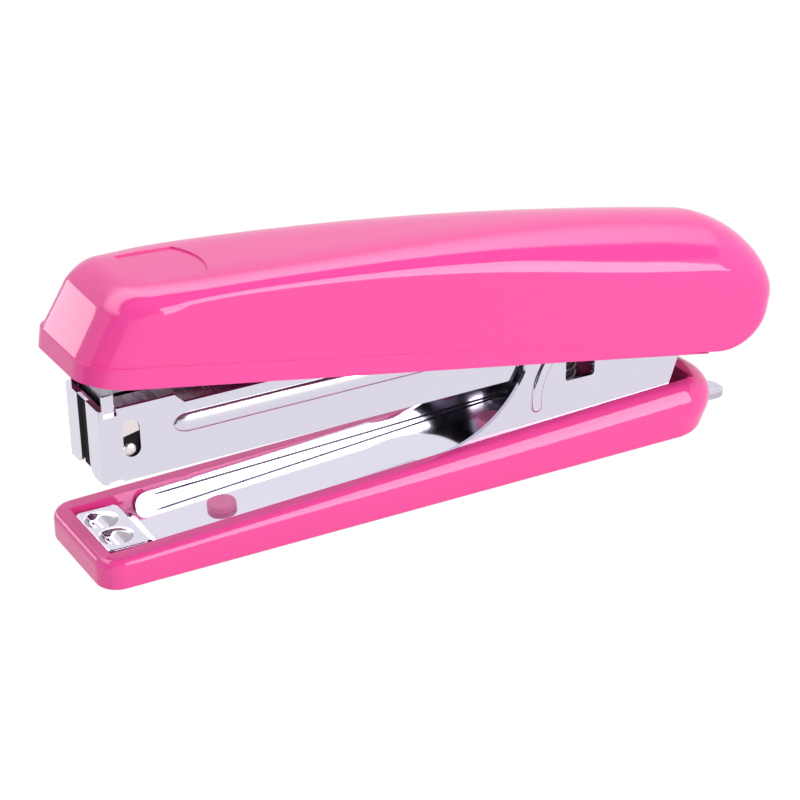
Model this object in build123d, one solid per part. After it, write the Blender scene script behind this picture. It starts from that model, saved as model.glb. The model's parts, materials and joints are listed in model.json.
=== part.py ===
from build123d import *
import os
from math import cos, pi, radians, sin, sqrt, tan

# A hand stapler for small staples, in millimetres.
# The nose points to -X, Y runs across, Z is up, and the origin is the middle of the sole.

# Staples
staple_width = 9.3
staple_leg = 5.0
staple_wire = 0.5
staple_count = 50

# Base tray
base_length = 96.5
base_width = 19.2
rim_front_height = 4.0
rim_rear_height = 7.9
tray_front_corner = 3.0
tray_rear_corner = 8.0
tray_rim_round = 1.4
tray_sole_round = 0.5
tray_sole = 1.6
tray_rib = 1.4
tray_rear_wall = 4.6
tray_core_count = 4

# Base channel with its two ears: a station is a distance behind the front of the base,
# and a lead is a distance ahead of the pivot
channel_sheet = 0.6
channel_front = 9.4
channel_rear_setback = 9.5
channel_fit = 0.05
floor_front_height = 1.95
floor_rise = 3.3
channel_wall_front = 11.0
channel_wall_lip = 0.45
channel_wall_round = 1.6
ear_start_lead = 39.0
ear_sweep_lead = 27.3
ear_sweep_height = 8.62
ear_front_lead = 21.9
ear_front_height = 15.0
ear_shoulder_height = 17.8
ear_boss_radius = 4.2
ear_rear_lean = 3.2
ear_rear_height = 15.1
ear_window_lead = 15.3
ear_window_length = 4.8
ear_window_bottom = 12.05
ear_window_top = 17.7
ear_window_round = 0.5
ear_bead_setback = 1.9
ear_bead_bottom = 9.2
ear_bead_top = 16.0
ear_bead_bow = 0.7
ear_bead_width = 1.2
ear_bead_height = 0.3
ear_bead_chamfer = 0.25
ear_bead_lean = 1.9

# Staked posts that hold the channel in the tray
stud_front = 20.5
stud_rear_lead = 23.0
stud_post_radius = 1.3
stud_head_radius = 1.95
stud_head_height = 0.9
stud_head_round = 0.3

# Anvil
anvil_front = 2.2
anvil_length = 5.8
anvil_half_width = 5.75
anvil_corner = 0.9
anvil_sheet = 0.7
anvil_top = 3.75
anvil_seat_play = 0.1
anvil_pocket_width = 1.9
anvil_pocket_depth = 0.4
anvil_pocket_setback = 2.0
anvil_pocket_spare = 0.7
anvil_pocket_bridge = 0.5
anvil_neck_half_width = 4.3
anvil_neck_run = 1.8
anvil_neck_foot = 2.6

# Staple remover tongue
tongue_thickness = 0.9
tongue_height = 0.6
tongue_half_width = 2.4
tongue_reach = 6.0
tongue_tip_round = 2.0
tongue_buried = 13.0

# Main pivot, shared by the magazine and the handle
pivot_setback = 11.5
pivot_height = 18.5
pin_radius = 1.6
pin_head_radius = 2.9
pin_head_thickness = 0.6
pin_head_round = 0.25
sleeve_wall = 0.8
sleeve_end_play = 0.1
running_clearance = 0.06

# Magazine, measured from the pivot
magazine_rest_tilt = -0.8
magazine_sheet = 0.5
magazine_setback = 2.3
magazine_bottom = 4.6
magazine_wall_top = 4.05
magazine_nose_top = 5.3
magazine_nose_length = 10.0
magazine_rear = 22.3
magazine_rear_round = 1.2
magazine_bend = 0.8
bend_slack = 0.1
arm_bottom = 3.0
arm_top = 3.2
arm_end_radius = 3.1
flange_gap = 2.76
flange_foot_round = 1.5
mouth_length = 2.7
mouth_relief = 0.35
mouth_nub = 0.6
side_bead_bottom = 0.15
side_bead_top = 2.45
side_bead_height = 0.45
side_bead_flank = 45.0
side_bead_point = 1.6
side_bead_setback = 9.9
side_bead_end = 27.0
side_window_setback = 2.9
side_window_length = 2.25
side_window_bottom = -1.55
side_window_height = 5.0
nose_notch_width = 1.7
nose_notch_depth = 0.9
nose_notch_setback = 0.6
leg_play = 0.15
leg_tip_play = 1.0
ear_gap = 0.6
stop_lug_radius = 1.0
stop_lug_drop = 2.0
stop_lug_play = 0.15

# Staple rail inside the magazine
rail_sheet = 0.45
rail_play = 0.1
crown_play = 0.05
rail_rear = 24.0
rail_slot_width = 2.4
rail_slot_rear = 26.0
rail_slot_lead = 1.0

# Driver guide at the nose of the magazine
guide_sheet = 0.35
guide_length = 5.6
guide_drop = 7.2
guide_tab_length = 1.5
guide_tab_rise = 1.7

# Staple strip, follower, rod and follower spring
strip_setback = 2.7
follower_length = 9.5
follower_play = 0.1
follower_roof = 1.2
follower_skirt = 3.4
follower_neck_play = 0.2
follower_block_half_width = 2.3
follower_block_half_height = 1.9
rod_radius = 0.8
rod_drop = 2.6
rod_overhang = 1.2
rod_tab_setback = 5.0
rod_tab_sheet = 0.6
follower_spring_wire = 0.4
follower_spring_radius = 1.6
follower_spring_turns = 20

# Spring bracket between the rear arms of the magazine
bracket_sheet = 0.8
bracket_front = 17.4
bracket_length = 8.0
bracket_top = 2.6

# Coil springs: bend at the ends in wire diameters, arcs in a turn and measured points in a turn
coil_bend = 1.5
coil_arcs = 4
coil_samples = 24

# Lift spring under the bracket
lift_spring_wire = 0.8
lift_spring_radius = 3.0
lift_spring_turns = 4
lift_spring_lead = 12.9
spring_seat_play = 0.03

# Handle cover, measured from the pivot
handle_rest_tilt = 9.5
cover_pin_gap = 0.39
cover_wall = 1.5
cover_bottom = 5.0
cover_overhang = 3.3
cover_tail = 21.2
cover_crest = 12.3
cover_crest_station = -2.0
cover_nose_top = 6.2
cover_nose_band = 2.5
cover_nose_slope_run = 3.35
cover_nose_round = 2.5
cover_tail_round = 9.8
cover_heel_round = 6.8
cover_edge_round = 4.4
cover_inner_round = 2.0
cover_heel_lift = 0.35
hollow_heel_lift = 0.8
cover_draft = 2.0
skirt_height = 2.2
skirt_heel_height = 0.9
skirt_step_station = -17.0
skirt_step_run = 3.5
skirt_proud = 0.2
label_length = 9.0
label_width = 11.0
label_corner = 1.5
label_depth = 0.25
label_setback = 8.5

# Screws that hold the cover on its frame
screw_front_setback = 20.0
screw_rear = -7.0
screw_boss_radius = 2.2
screw_radius = 0.9
screw_head_radius = 1.7
screw_head_height = 0.9
screw_length = 2.8
screw_tip_play = 0.3
screw_drive_width = 0.5
screw_drive_depth = 0.4

# Handle frame inside the cover
frame_sheet = 0.5
frame_nose_gap = 9.0
frame_rear = 3.9
frame_nose_length = 8.0
frame_nose_half_width = 6.0
frame_web_top = 5.2
frame_wall_bottom = 2.0
frame_arm_radius = 3.9
frame_arm_start = 12.0
frame_side_play = 0.15

# Driver blade
driver_sheet = 0.5
driver_width = 8.9
driver_rest_gap = 0.35
driver_guide_gap = 0.25
driver_tab_length = 8.0
driver_rivet_setback = 1.5

# Rivets of the driver and of the leaf spring
rivet_radius = 0.8
rivet_head_radius = 1.3
rivet_head_height = 0.4
rivet_spacing = 4.6

# Return leaf spring between frame and magazine
leaf_sheet = 0.5
leaf_half_width = 3.6
leaf_front = 48.0
leaf_flat_length = 12.0
leaf_gap = 0.2
leaf_toe = 2.0

# Sizes that follow from the ones above
base_front = -base_length / 2
rim_slope = (rim_rear_height - rim_front_height) / base_length
floor_slope = tan(radians(floor_rise))
strip_half = staple_width / 2
rail_half = strip_half - staple_wire - rail_play
magazine_inner = strip_half + leg_play + guide_sheet
magazine_half = magazine_inner + magazine_sheet
ear_inner = magazine_half + ear_gap
channel_half = ear_inner + channel_sheet
frame_inner = channel_half + frame_side_play
frame_half = frame_inner + frame_sheet
pin_half = frame_half + running_clearance + pin_head_thickness
cover_width = 2 * (pin_half + cover_pin_gap + cover_wall + skirt_proud)
pivot_station = base_length - pivot_setback
pivot_x = base_front + pivot_station
channel_rear = base_length - channel_rear_setback
ear_start = pivot_station - ear_start_lead
ear_sweep = pivot_station - ear_sweep_lead
ear_front = pivot_station - ear_front_lead
ear_window_front = pivot_station - ear_window_lead
stud_rear = pivot_station - stud_rear_lead
lift_spring_station = pivot_station - lift_spring_lead
magazine_reach = pivot_station - magazine_setback
cover_reach = magazine_reach + cover_overhang
frame_front = cover_reach - frame_nose_gap
screw_front = -cover_reach + screw_front_setback
magazine_front = -magazine_reach
flange_back = magazine_front + magazine_sheet
magazine_floor = -magazine_bottom + magazine_sheet
crown_top = magazine_floor + leg_tip_play + staple_leg
crown_bottom = crown_top - staple_wire
rail_top = crown_bottom - crown_play
strip_front = magazine_front + strip_setback
strip_rear = strip_front + staple_count * staple_wire
follower_rear = strip_rear + follower_length
rod_height = crown_bottom - rod_drop
rod_tab = strip_rear - rod_tab_setback
guide_back = flange_back + guide_sheet
frame_web = frame_web_top - frame_sheet
rest_angle = handle_rest_tilt - magazine_rest_tilt
stud_stations = (stud_front, stud_rear)
screw_stations = (screw_front, screw_rear)
far = base_length


def station(distance):
    """X of a point this far behind the front of the base."""
    return base_front + distance


def rim_height(distance):
    return rim_front_height + rim_slope * distance


def floor_height(distance):
    """Top of the channel's sloping floor."""
    return floor_front_height + floor_slope * (distance - channel_front)


def floor_underside(distance):
    return floor_height(distance) - channel_sheet


def plate(outline, y_start, y_end):
    """A flat piece cut to an outline in the X-Z plane, between two places across."""
    return Pos(0, y_end, 0) * extrude(Plane.XZ * outline, amount=y_end - y_start)


def both_sides(piece):
    return piece + mirror(piece, about=Plane.XZ)


def polygon(*points):
    return make_face(Polyline(*points, close=True))


def block(x_start, x_end, y_start, y_end, z_start, z_end):
    size = Box(x_end - x_start, y_end - y_start, z_end - z_start)
    return Pos((x_start + x_end) / 2, (y_start + y_end) / 2, (z_start + z_end) / 2) * size


def across(radius, x, z, y_start, y_end):
    """A round bar that lies across the stapler."""
    return plate(Pos(x, z) * Circle(radius), y_start, y_end)


def upright(radius, x, y, z_start, z_end):
    """A round bar that stands up."""
    bar = Cylinder(radius, z_end - z_start, align=(Align.CENTER, Align.CENTER, Align.MIN))
    return Pos(x, y, z_start) * bar


def along(radius, x_start, x_end, z):
    """A round bar that lies along the stapler."""
    return extrude(Plane(origin=(x_start, 0, z), z_dir=(1, 0, 0)) * Circle(radius), amount=x_end - x_start)


def at_pivot(piece, tilt):
    """Places a piece that was drawn about the pivot, nose up by this tilt."""
    return Pos(pivot_x, 0, pivot_height) * Rot(0, tilt, 0) * piece


def seen_from_handle(x, z):
    """A point of the magazine's drawing, given in the handle's drawing at rest."""
    turn = radians(rest_angle)
    return x * cos(turn) - z * sin(turn), x * sin(turn) + z * cos(turn)


def biarc(start, start_way, end, end_way):
    """Two arcs that leave start and reach end along the given ways."""
    span = end - start
    bend = 2 * (1 - start_way.dot(end_way))
    forward = span.dot(start_way + end_way)
    reach = (sqrt(forward * forward + bend * span.dot(span)) - forward) / bend
    first_corner = start + start_way * reach
    last_corner = end - end_way * reach
    middle = (first_corner + last_corner) * 0.5
    middle_way = (last_corner - first_corner).normalized()
    return [
        TangentArc(start, middle, tangent=start_way),
        TangentArc(middle, end, tangent=middle_way),
    ]


def least_gap(points, wire, apart):
    """Smallest clear space between turns, measured on points along the wire."""
    spaces = []
    for first in range(len(points)):
        for second in range(first + apart, len(points)):
            spaces.append((points[first] - points[second]).length)
    return min(spaces) - wire


def coil(name, length, radius, wire, turns):
    """A compression spring along +Z, whose ends run straight into their seats."""
    bend = coil_bend * wire
    lead = wire + bend
    rise = (length - 2 * lead) / turns

    def point(turn):
        return Vector(radius * cos(2 * pi * turn), radius * sin(2 * pi * turn), lead + rise * turn)

    def way(turn):
        around = 2 * pi * radius
        return Vector(-around * sin(2 * pi * turn), around * cos(2 * pi * turn), rise).normalized()

    up = Vector(0, 0, 1)
    foot = point(0) - Vector(0, bend, bend)
    head = point(turns) + Vector(0, bend, bend)
    edges = [Line(foot - up * wire, foot)]
    edges += biarc(foot, up, point(0), way(0))
    for step in range(turns * coil_arcs):
        turn = step / coil_arcs
        next_turn = (step + 1) / coil_arcs
        edges += biarc(point(turn), way(turn), point(next_turn), way(next_turn))
    edges += biarc(point(turns), way(turns), head, up)
    edges.append(Line(head, head + up * wire))
    path = Wire(edges)
    points = [point(count / coil_samples) for count in range(turns * coil_samples + 1)]
    gap = least_gap(points, wire, coil_samples // 2)
    spring = sweep(Plane(origin=path @ 0, z_dir=up) * Circle(wire / 2), path=path)
    swept = pi * wire * wire / 4 * path.length
    print(name, "least gap", round(gap, 2), "volume", round(spring.volume, 2), "of", round(swept, 2))
    return spring


def make_base_tray():
    outline = Rectangle(base_length, base_width)
    outline = fillet(outline.vertices().group_by(Axis.X)[0], tray_front_corner)
    outline = fillet(outline.vertices().group_by(Axis.X)[-1], tray_rear_corner)
    tall = rim_rear_height + rim_front_height
    tray = extrude(outline, amount=tall)
    above = polygon(
        (station(-far), rim_height(-far)),
        (station(2 * far), rim_height(2 * far)),
        (station(2 * far), far),
        (station(-far), far),
    )
    tray -= plate(above, -base_width, base_width)
    tray = fillet(tray.faces().sort_by(Axis.Z)[-1].outer_wire().edges(), tray_rim_round)
    tray = fillet(tray.faces().sort_by(Axis.Z)[0].outer_wire().edges(), tray_sole_round)
    pocket_half = channel_half + channel_fit
    pocket_rear = base_length - tray_rear_wall
    pocket = polygon(
        (station(channel_front - channel_fit), floor_underside(channel_front - channel_fit)),
        (station(pocket_rear), floor_underside(pocket_rear)),
        (station(pocket_rear), tall),
        (station(channel_front - channel_fit), tall),
    )
    tray -= plate(pocket, -pocket_half, pocket_half)
    tray -= tray_cores(pocket_half, pocket_rear)
    tray -= anvil_seat()
    tray -= make_remover_tongue()
    for distance in stud_stations:
        tray += staked_post(distance)
    return tray


def tray_cores(pocket_half, pocket_rear):
    """Hollows under the channel, with ribs between them, clear of the posts and the tongue."""
    first = stud_front + stud_head_radius + tray_rib
    run = (pocket_rear - first) / tray_core_count
    tongue_cover = block(
        station(base_length - tongue_buried - tray_rib),
        station(base_length),
        -tongue_half_width - tray_rib,
        tongue_half_width + tray_rib,
        0,
        tongue_height + tongue_thickness + tray_rib,
    )
    cores = []
    for count in range(tray_core_count):
        front = first + run * count
        rear = front + run - tray_rib
        hollow = polygon(
            (station(front), tray_sole),
            (station(rear), tray_sole),
            (station(rear), floor_height(rear)),
            (station(front), floor_height(front)),
        )
        core = plate(hollow, -pocket_half + tray_rib, pocket_half - tray_rib)
        for distance in stud_stations:
            core -= upright(stud_head_radius, station(distance), 0, 0, rim_rear_height)
        cores.append(core - tongue_cover)
    return cores


def floor_plane(distance):
    """A plane on the channel's floor, square to it."""
    square = (-sin(radians(floor_rise)), 0, cos(radians(floor_rise)))
    return Plane(origin=(station(distance), 0, floor_height(distance)), x_dir=(0, 1, 0), z_dir=square)


def staked_post(distance):
    """A moulded post through the channel's floor with a flattened head."""
    floor = floor_plane(distance)
    post = extrude(floor * Circle(stud_post_radius), amount=-2 * channel_sheet)
    head = extrude(floor * Circle(stud_head_radius), amount=stud_head_height)
    head = fillet(head.faces().sort_by(Axis.Z)[-1].edges(), stud_head_round)
    return post + head


def make_base_channel():
    floor_outline = polygon(
        (station(channel_front), floor_underside(channel_front)),
        (station(channel_rear), floor_underside(channel_rear)),
        (station(channel_rear), floor_height(channel_rear)),
        (station(channel_front), floor_height(channel_front)),
    )
    channel = plate(floor_outline, -channel_half, channel_half)
    window = Pos(station(ear_window_front), ear_window_bottom) * Rectangle(
        ear_window_length, ear_window_top - ear_window_bottom, align=Align.MIN
    )
    window = fillet(window.vertices(), ear_window_round)
    ear = plate(ear_outline(), -channel_half, -ear_inner)
    ear -= plate(window, -channel_half, -ear_inner)
    ear -= across(pin_radius, pivot_x, pivot_height, -channel_half, -ear_inner)
    ear += ear_bead()
    channel += both_sides(ear)
    for distance in stud_stations:
        floor = floor_plane(distance)
        channel -= extrude(floor * Circle(stud_post_radius), amount=-2 * channel_sheet)
    return channel


def ear_outline():
    """Low wall, swept-up front edge, sloping top, rounded boss and leaning rear edge."""
    wall_front = station(channel_wall_front)
    foot = (wall_front, floor_underside(channel_wall_front))
    low_front = rim_height(channel_wall_front) - channel_wall_lip
    low_start = (wall_front, low_front - channel_wall_round)
    low_end = (wall_front + channel_wall_round, low_front)
    sweep_start = (station(ear_start), rim_height(ear_start))
    sweep_middle = (station(ear_sweep), ear_sweep_height)
    sweep_end = (station(ear_front), ear_front_height)
    shoulder = (station(ear_front), ear_shoulder_height)
    boss_front = (pivot_x - ear_boss_radius * sin(pi / 4), pivot_height + ear_boss_radius * cos(pi / 4))
    boss_top = (pivot_x, pivot_height + ear_boss_radius)
    boss_rear = (pivot_x + ear_boss_radius, pivot_height)
    heel = (station(channel_rear), floor_underside(channel_rear))
    rear_top = (station(channel_rear) + ear_rear_lean, ear_rear_height)
    edges = [
        Line(foot, low_start),
        RadiusArc(low_start, low_end, channel_wall_round),
        Line(low_end, sweep_start),
        ThreePointArc(sweep_start, sweep_middle, sweep_end),
        Line(sweep_end, shoulder),
        Line(shoulder, boss_front),
        ThreePointArc(boss_front, boss_top, boss_rear),
        Line(boss_rear, rear_top),
        Line(rear_top, heel),
        Line(heel, foot),
    ]
    return make_face(edges)


def ear_bead():
    """Pressed stiffening bead that follows the front edge of an ear."""
    bottom = (station(ear_front + ear_bead_setback), ear_bead_bottom)
    top = (bottom[0] + ear_bead_lean, ear_bead_top)
    middle = (
        (bottom[0] + top[0]) / 2 - ear_bead_bow,
        (bottom[1] + top[1]) / 2,
    )
    strip = SlotArc(ThreePointArc(bottom, middle, top), ear_bead_width)
    bead = plate(strip, -channel_half - ear_bead_height, -channel_half)
    outer = bead.faces().sort_by(Axis.Y)[0]
    return chamfer(outer.edges(), ear_bead_chamfer)


def anvil_seat():
    """Room for the anvil plate in the tray."""
    half = channel_half + channel_fit
    neck_half = anvil_neck_half_width + anvil_seat_play
    front = station(anvil_front - anvil_seat_play)
    neck_front = station(anvil_front + anvil_length - anvil_seat_play)
    rear = station(channel_front)
    seat = block(front, rear, -half, half, anvil_top - anvil_sheet, far)
    return seat + block(neck_front, rear, -neck_half, neck_half, floor_underside(channel_front), far)


def make_anvil_plate():
    front = station(anvil_front)
    rear = station(anvil_front + anvil_length)
    foot_start = rear + anvil_neck_run
    foot_end = foot_start + anvil_neck_foot
    deck = block(front, rear, -anvil_half_width, anvil_half_width, anvil_top - anvil_sheet, anvil_top)
    deck = fillet(deck.edges().filter_by(Axis.Z), anvil_corner)
    foot_low = floor_height(foot_start - base_front)
    end_low = floor_height(foot_end - base_front)
    neck = polygon(
        (rear - anvil_corner, anvil_top),
        (rear, anvil_top),
        (foot_start, foot_low + anvil_sheet),
        (foot_end, end_low + anvil_sheet),
        (foot_end, end_low),
        (foot_start, foot_low),
        (rear, anvil_top - anvil_sheet),
        (rear - anvil_corner, anvil_top - anvil_sheet),
    )
    anvil = deck + plate(neck, -anvil_neck_half_width, anvil_neck_half_width)
    pocket_x = front + anvil_pocket_setback
    pocket_length = (staple_width + anvil_pocket_spare - anvil_pocket_bridge) / 2
    pocket_y = (pocket_length + anvil_pocket_bridge) / 2
    for side in (-1, 1):
        shape = Pos(pocket_x, side * pocket_y) * SlotOverall(pocket_length, anvil_pocket_width, rotation=90)
        anvil -= Pos(0, 0, anvil_top) * extrude(shape, amount=-anvil_pocket_depth)
    return anvil


def make_remover_tongue():
    """Flat tongue with a rounded tip, held in the rear wall of the tray."""
    start = station(base_length - tongue_buried)
    tip = station(base_length + tongue_reach)
    shape = Pos((start + tip) / 2, 0) * Rectangle(tip - start, 2 * tongue_half_width)
    shape = fillet(shape.vertices().group_by(Axis.X)[-1], tongue_tip_round)
    return Pos(0, 0, tongue_height) * extrude(shape, amount=tongue_thickness)


def make_pivot_pin():
    pin = across(pin_radius, pivot_x, pivot_height, -pin_half, pin_half)
    head = across(pin_head_radius, pivot_x, pivot_height, -pin_half, -pin_half + pin_head_thickness)
    head = fillet(head.faces().sort_by(Axis.Y)[0].edges(), pin_head_round)
    return pin + both_sides(head)


def make_pivot_sleeve():
    half = magazine_inner - sleeve_end_play
    tube = across(pin_radius + sleeve_wall, pivot_x, pivot_height, -half, half)
    return tube - across(pin_radius, pivot_x, pivot_height, -half, half)


def make_lift_spring():
    """Stands on the channel's floor and carries the bracket of the magazine."""
    x = station(lift_spring_station)
    low = floor_height(lift_spring_station + lift_spring_radius + lift_spring_wire) + spring_seat_play
    seat = x - pivot_x + lift_spring_radius
    tilt = radians(magazine_rest_tilt)
    high = pivot_height - arm_bottom * cos(tilt) - seat * sin(tilt) - spring_seat_play
    spring = coil("lift_spring", high - low, lift_spring_radius, lift_spring_wire, lift_spring_turns)
    return Pos(x, 0, low) * spring


def wall_outline():
    """Side wall of the magazine, with its tall nose, stepped rear and pivot arm."""
    nose_end = magazine_front + magazine_nose_length
    mouth_end = magazine_front + mouth_length
    outline = polygon(
        (magazine_front, -magazine_bottom),
        (magazine_front + mouth_nub, -magazine_bottom),
        (magazine_front + mouth_nub + mouth_relief, -magazine_bottom + mouth_relief),
        (mouth_end - mouth_relief, -magazine_bottom + mouth_relief),
        (mouth_end, -magazine_bottom),
        (-magazine_rear, -magazine_bottom),
        (-magazine_rear, -arm_bottom),
        (0, -arm_bottom),
        (0, arm_top),
        (-magazine_rear, arm_top),
        (-magazine_rear, magazine_wall_top),
        (nose_end + magazine_nose_top - magazine_wall_top, magazine_wall_top),
        (nose_end, magazine_nose_top),
        (magazine_front, magazine_nose_top),
    )
    corner = [vertex for vertex in outline.vertices() if abs(vertex.X + magazine_rear) < rail_play]
    lowest = ShapeList(corner).sort_by(Axis.Y)[0]
    outline = fillet(lowest, magazine_rear_round)
    outline += Circle(arm_end_radius)
    outline -= Circle(pin_radius + running_clearance)
    window_x = magazine_front + side_window_setback + side_window_length / 2
    window_z = side_window_bottom + side_window_height / 2
    outline -= Pos(window_x, window_z) * SlotOverall(side_window_height, side_window_length, rotation=90)
    notch_x = magazine_front + nose_notch_setback + nose_notch_width / 2
    notch_low = magazine_nose_top - nose_notch_depth
    outline -= Pos(notch_x, notch_low) * Rectangle(
        nose_notch_width, 2 * nose_notch_depth, align=(Align.CENTER, Align.MIN)
    )
    return outline


def make_magazine_channel():
    wall = plate(wall_outline(), -magazine_half, -magazine_inner)
    wall += side_bead()
    lug_x = station(ear_window_front + ear_window_length / 2) - pivot_x
    wall += across(stop_lug_radius, lug_x, -stop_lug_drop, -channel_half + stop_lug_play, -magazine_inner)
    flange = block(
        magazine_front, flange_back, -magazine_half, -flange_gap / 2, -magazine_bottom, magazine_nose_top
    )
    foot = flange.edges().filter_by(Axis.X).group_by(Axis.Z)[0].sort_by(Axis.Y)[-1]
    flange = fillet(foot, flange_foot_round)
    half = wall + flange
    standing = half.edges().filter_by(Axis.Z)
    bend = standing.filter_by(lambda edge: edge.center().Y < -magazine_inner - bend_slack)
    half = fillet(bend.filter_by(lambda edge: edge.center().X < magazine_front + bend_slack), magazine_bend)
    channel = both_sides(half)
    web_front = magazine_front + mouth_length
    web_rear = -magazine_rear - magazine_rear_round
    channel += block(web_front, web_rear, -magazine_half, magazine_half, -magazine_bottom, magazine_floor)
    return at_pivot(channel, magazine_rest_tilt)


def side_bead():
    """Long bead pressed outwards along a wall of the magazine, pointed at the front."""
    start = magazine_front + side_bead_setback
    middle = (side_bead_top + side_bead_bottom) / 2
    outline = polygon(
        (start, middle),
        (start + side_bead_point, side_bead_bottom),
        (-side_bead_end, side_bead_bottom),
        (-side_bead_end, side_bead_top),
        (start + side_bead_point, side_bead_top),
    )
    bead = extrude(Plane.XZ * outline, amount=side_bead_height, taper=side_bead_flank)
    return Pos(0, -magazine_half, 0) * bead


def make_staple_rail():
    front = strip_front + rail_play
    rear = -rail_rear
    inner = rail_half - rail_sheet
    rail = block(front, rear, -rail_half, rail_half, magazine_floor, rail_top)
    rail -= block(front, rear, -inner, inner, magazine_floor, rail_top - rail_sheet)
    slot_half = rail_slot_width / 2
    slot_front = strip_rear - rail_slot_lead
    rail -= block(slot_front, -rail_slot_rear, -slot_half, slot_half, rail_top - rail_sheet, rail_top)
    tab = block(rod_tab, rod_tab + rod_tab_sheet, -inner, inner, magazine_floor, rail_top - rail_sheet)
    rail += tab - along(rod_radius, rod_tab, rod_tab + rod_tab_sheet, rod_height)
    return at_pivot(rail, magazine_rest_tilt)


def make_driver_guide():
    """Liner clip: a front plate behind the flanges and two cheeks with upright tabs."""
    rear = flange_back + guide_length
    low = magazine_nose_top - guide_drop
    top = magazine_nose_top - nose_notch_depth
    front_plate = block(flange_back, guide_back, -magazine_inner, magazine_inner, low, magazine_nose_top)
    cheek = block(flange_back, rear, -magazine_inner, -magazine_inner + guide_sheet, low, top)
    tab_front = magazine_front + nose_notch_setback + (nose_notch_width - guide_tab_length) / 2
    cheek += block(
        tab_front,
        tab_front + guide_tab_length,
        -magazine_inner,
        -magazine_inner + guide_sheet,
        top,
        magazine_nose_top + guide_tab_rise,
    )
    return at_pivot(front_plate + both_sides(cheek), magazine_rest_tilt)


def make_staple_strip():
    leg_tip = crown_top - staple_leg
    inner = strip_half - staple_wire
    strip = block(strip_front, strip_rear, -strip_half, strip_half, leg_tip, crown_top)
    strip -= block(strip_front, strip_rear, -inner, inner, leg_tip, crown_bottom)
    return at_pivot(strip, magazine_rest_tilt)


def make_follower():
    """Saddle over the rail, with a block inside it that runs on the rod."""
    inner = rail_half + follower_play
    roof_low = rail_top + follower_play
    skirt_low = crown_top - follower_skirt
    saddle = block(strip_rear, follower_rear, -strip_half, strip_half, skirt_low, roof_low + follower_roof)
    saddle -= block(strip_rear, follower_rear, -inner, inner, skirt_low, roof_low)
    neck_half = rail_slot_width / 2 - follower_neck_play
    neck_low = rod_height + follower_block_half_height
    saddle += block(strip_rear, follower_rear, -neck_half, neck_half, neck_low, roof_low)
    half = follower_block_half_width
    low = rod_height - follower_block_half_height
    saddle += block(strip_rear, follower_rear, -half, half, low, neck_low)
    saddle -= along(rod_radius + running_clearance, strip_rear, follower_rear, rod_height)
    return at_pivot(saddle, magazine_rest_tilt)


def make_follower_rod():
    end = -bracket_front + bracket_sheet + rod_overhang
    return at_pivot(along(rod_radius, rod_tab, end, rod_height), magazine_rest_tilt)


def make_follower_spring():
    start = follower_rear + spring_seat_play
    length = -bracket_front - spring_seat_play - start
    spring = coil(
        "follower_spring", length, follower_spring_radius, follower_spring_wire, follower_spring_turns
    )
    return at_pivot(Pos(start, 0, rod_height) * Rot(0, 90, 0) * spring, magazine_rest_tilt)


def make_spring_bracket():
    front = -bracket_front
    half = magazine_inner
    shelf_top = -arm_bottom + bracket_sheet
    upright_plate = block(front, front + bracket_sheet, -half, half, -arm_bottom, bracket_top)
    shelf = block(front, front + bracket_length, -half, half, -arm_bottom, shelf_top)
    hole = along(rod_radius, front, front + bracket_sheet, rod_height)
    return at_pivot(upright_plate + shelf - hole, magazine_rest_tilt)


def crest_height(x):
    """Top of the cover along its middle, a long flat arch."""
    run = cover_reach - cover_nose_slope_run + cover_crest_station
    fall = cover_crest - cover_nose_top
    return cover_crest - fall * ((x - cover_crest_station) / run) ** 2


def cover_profile(inset, heel_lift):
    """Side view of the cover, moved inwards by an inset, and open below when it is inset."""
    nose = -cover_reach + inset
    tail = cover_tail - inset
    low = -cover_bottom + inset
    heel = low - heel_lift
    band_top = -cover_bottom + cover_nose_band
    slope_top = (nose + cover_nose_slope_run, crest_height(nose + cover_nose_slope_run) - inset)
    tail_top = (tail, crest_height(tail) - inset)
    arch = (slope_top[0] + tail_top[0]) / 2
    face = make_face([
        Line((nose, heel), (nose, band_top)),
        Line((nose, band_top), slope_top),
        ThreePointArc(slope_top, (arch, crest_height(arch) - inset), tail_top),
        Line(tail_top, (tail, heel)),
        Line((tail, heel), (nose, heel)),
    ])
    face = round_corner(face, slope_top, cover_nose_round)
    face = round_corner(face, tail_top, cover_tail_round - inset)
    face = round_corner(face, (tail, heel), cover_heel_round - inset)
    face = face & (Pos(nose, low) * Rectangle(cover_reach + far, far, align=Align.MIN))
    if inset:
        open_length = cover_tail - cover_heel_round - nose
        face += Pos(nose, -cover_bottom - inset) * Rectangle(open_length, 2 * inset, align=Align.MIN)
    return face


def round_corner(face, corner, radius):
    """Rounds the corner of a flat outline that lies nearest to a point."""
    nearest = face.vertices().sort_by_distance((corner[0], corner[1], 0))[0]
    return fillet(nearest, radius)


def cover_block(inset, edge_round, narrower, heel_lift):
    """The cover as a full block: drafted sides, cut to its side view and rounded all along it."""
    nose = -cover_reach + inset
    plan = Rectangle(2 * (cover_reach + cover_tail), cover_width - 2 * inset - 2 * narrower)
    height = cover_crest + cover_bottom + 2 * cover_wall
    body = extrude(Pos(0, 0, -cover_bottom - inset) * plan, amount=height, taper=cover_draft)
    body = body & plate(cover_profile(inset, heel_lift), -cover_width, cover_width)
    edges = body.edges().filter_by(lambda edge: abs(edge.tangent_at(0.5).Z) > 0.5)
    edges = edges.filter_by(lambda edge: edge.center().X < nose + cover_nose_slope_run)
    return fillet(edges, edge_round)


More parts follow.
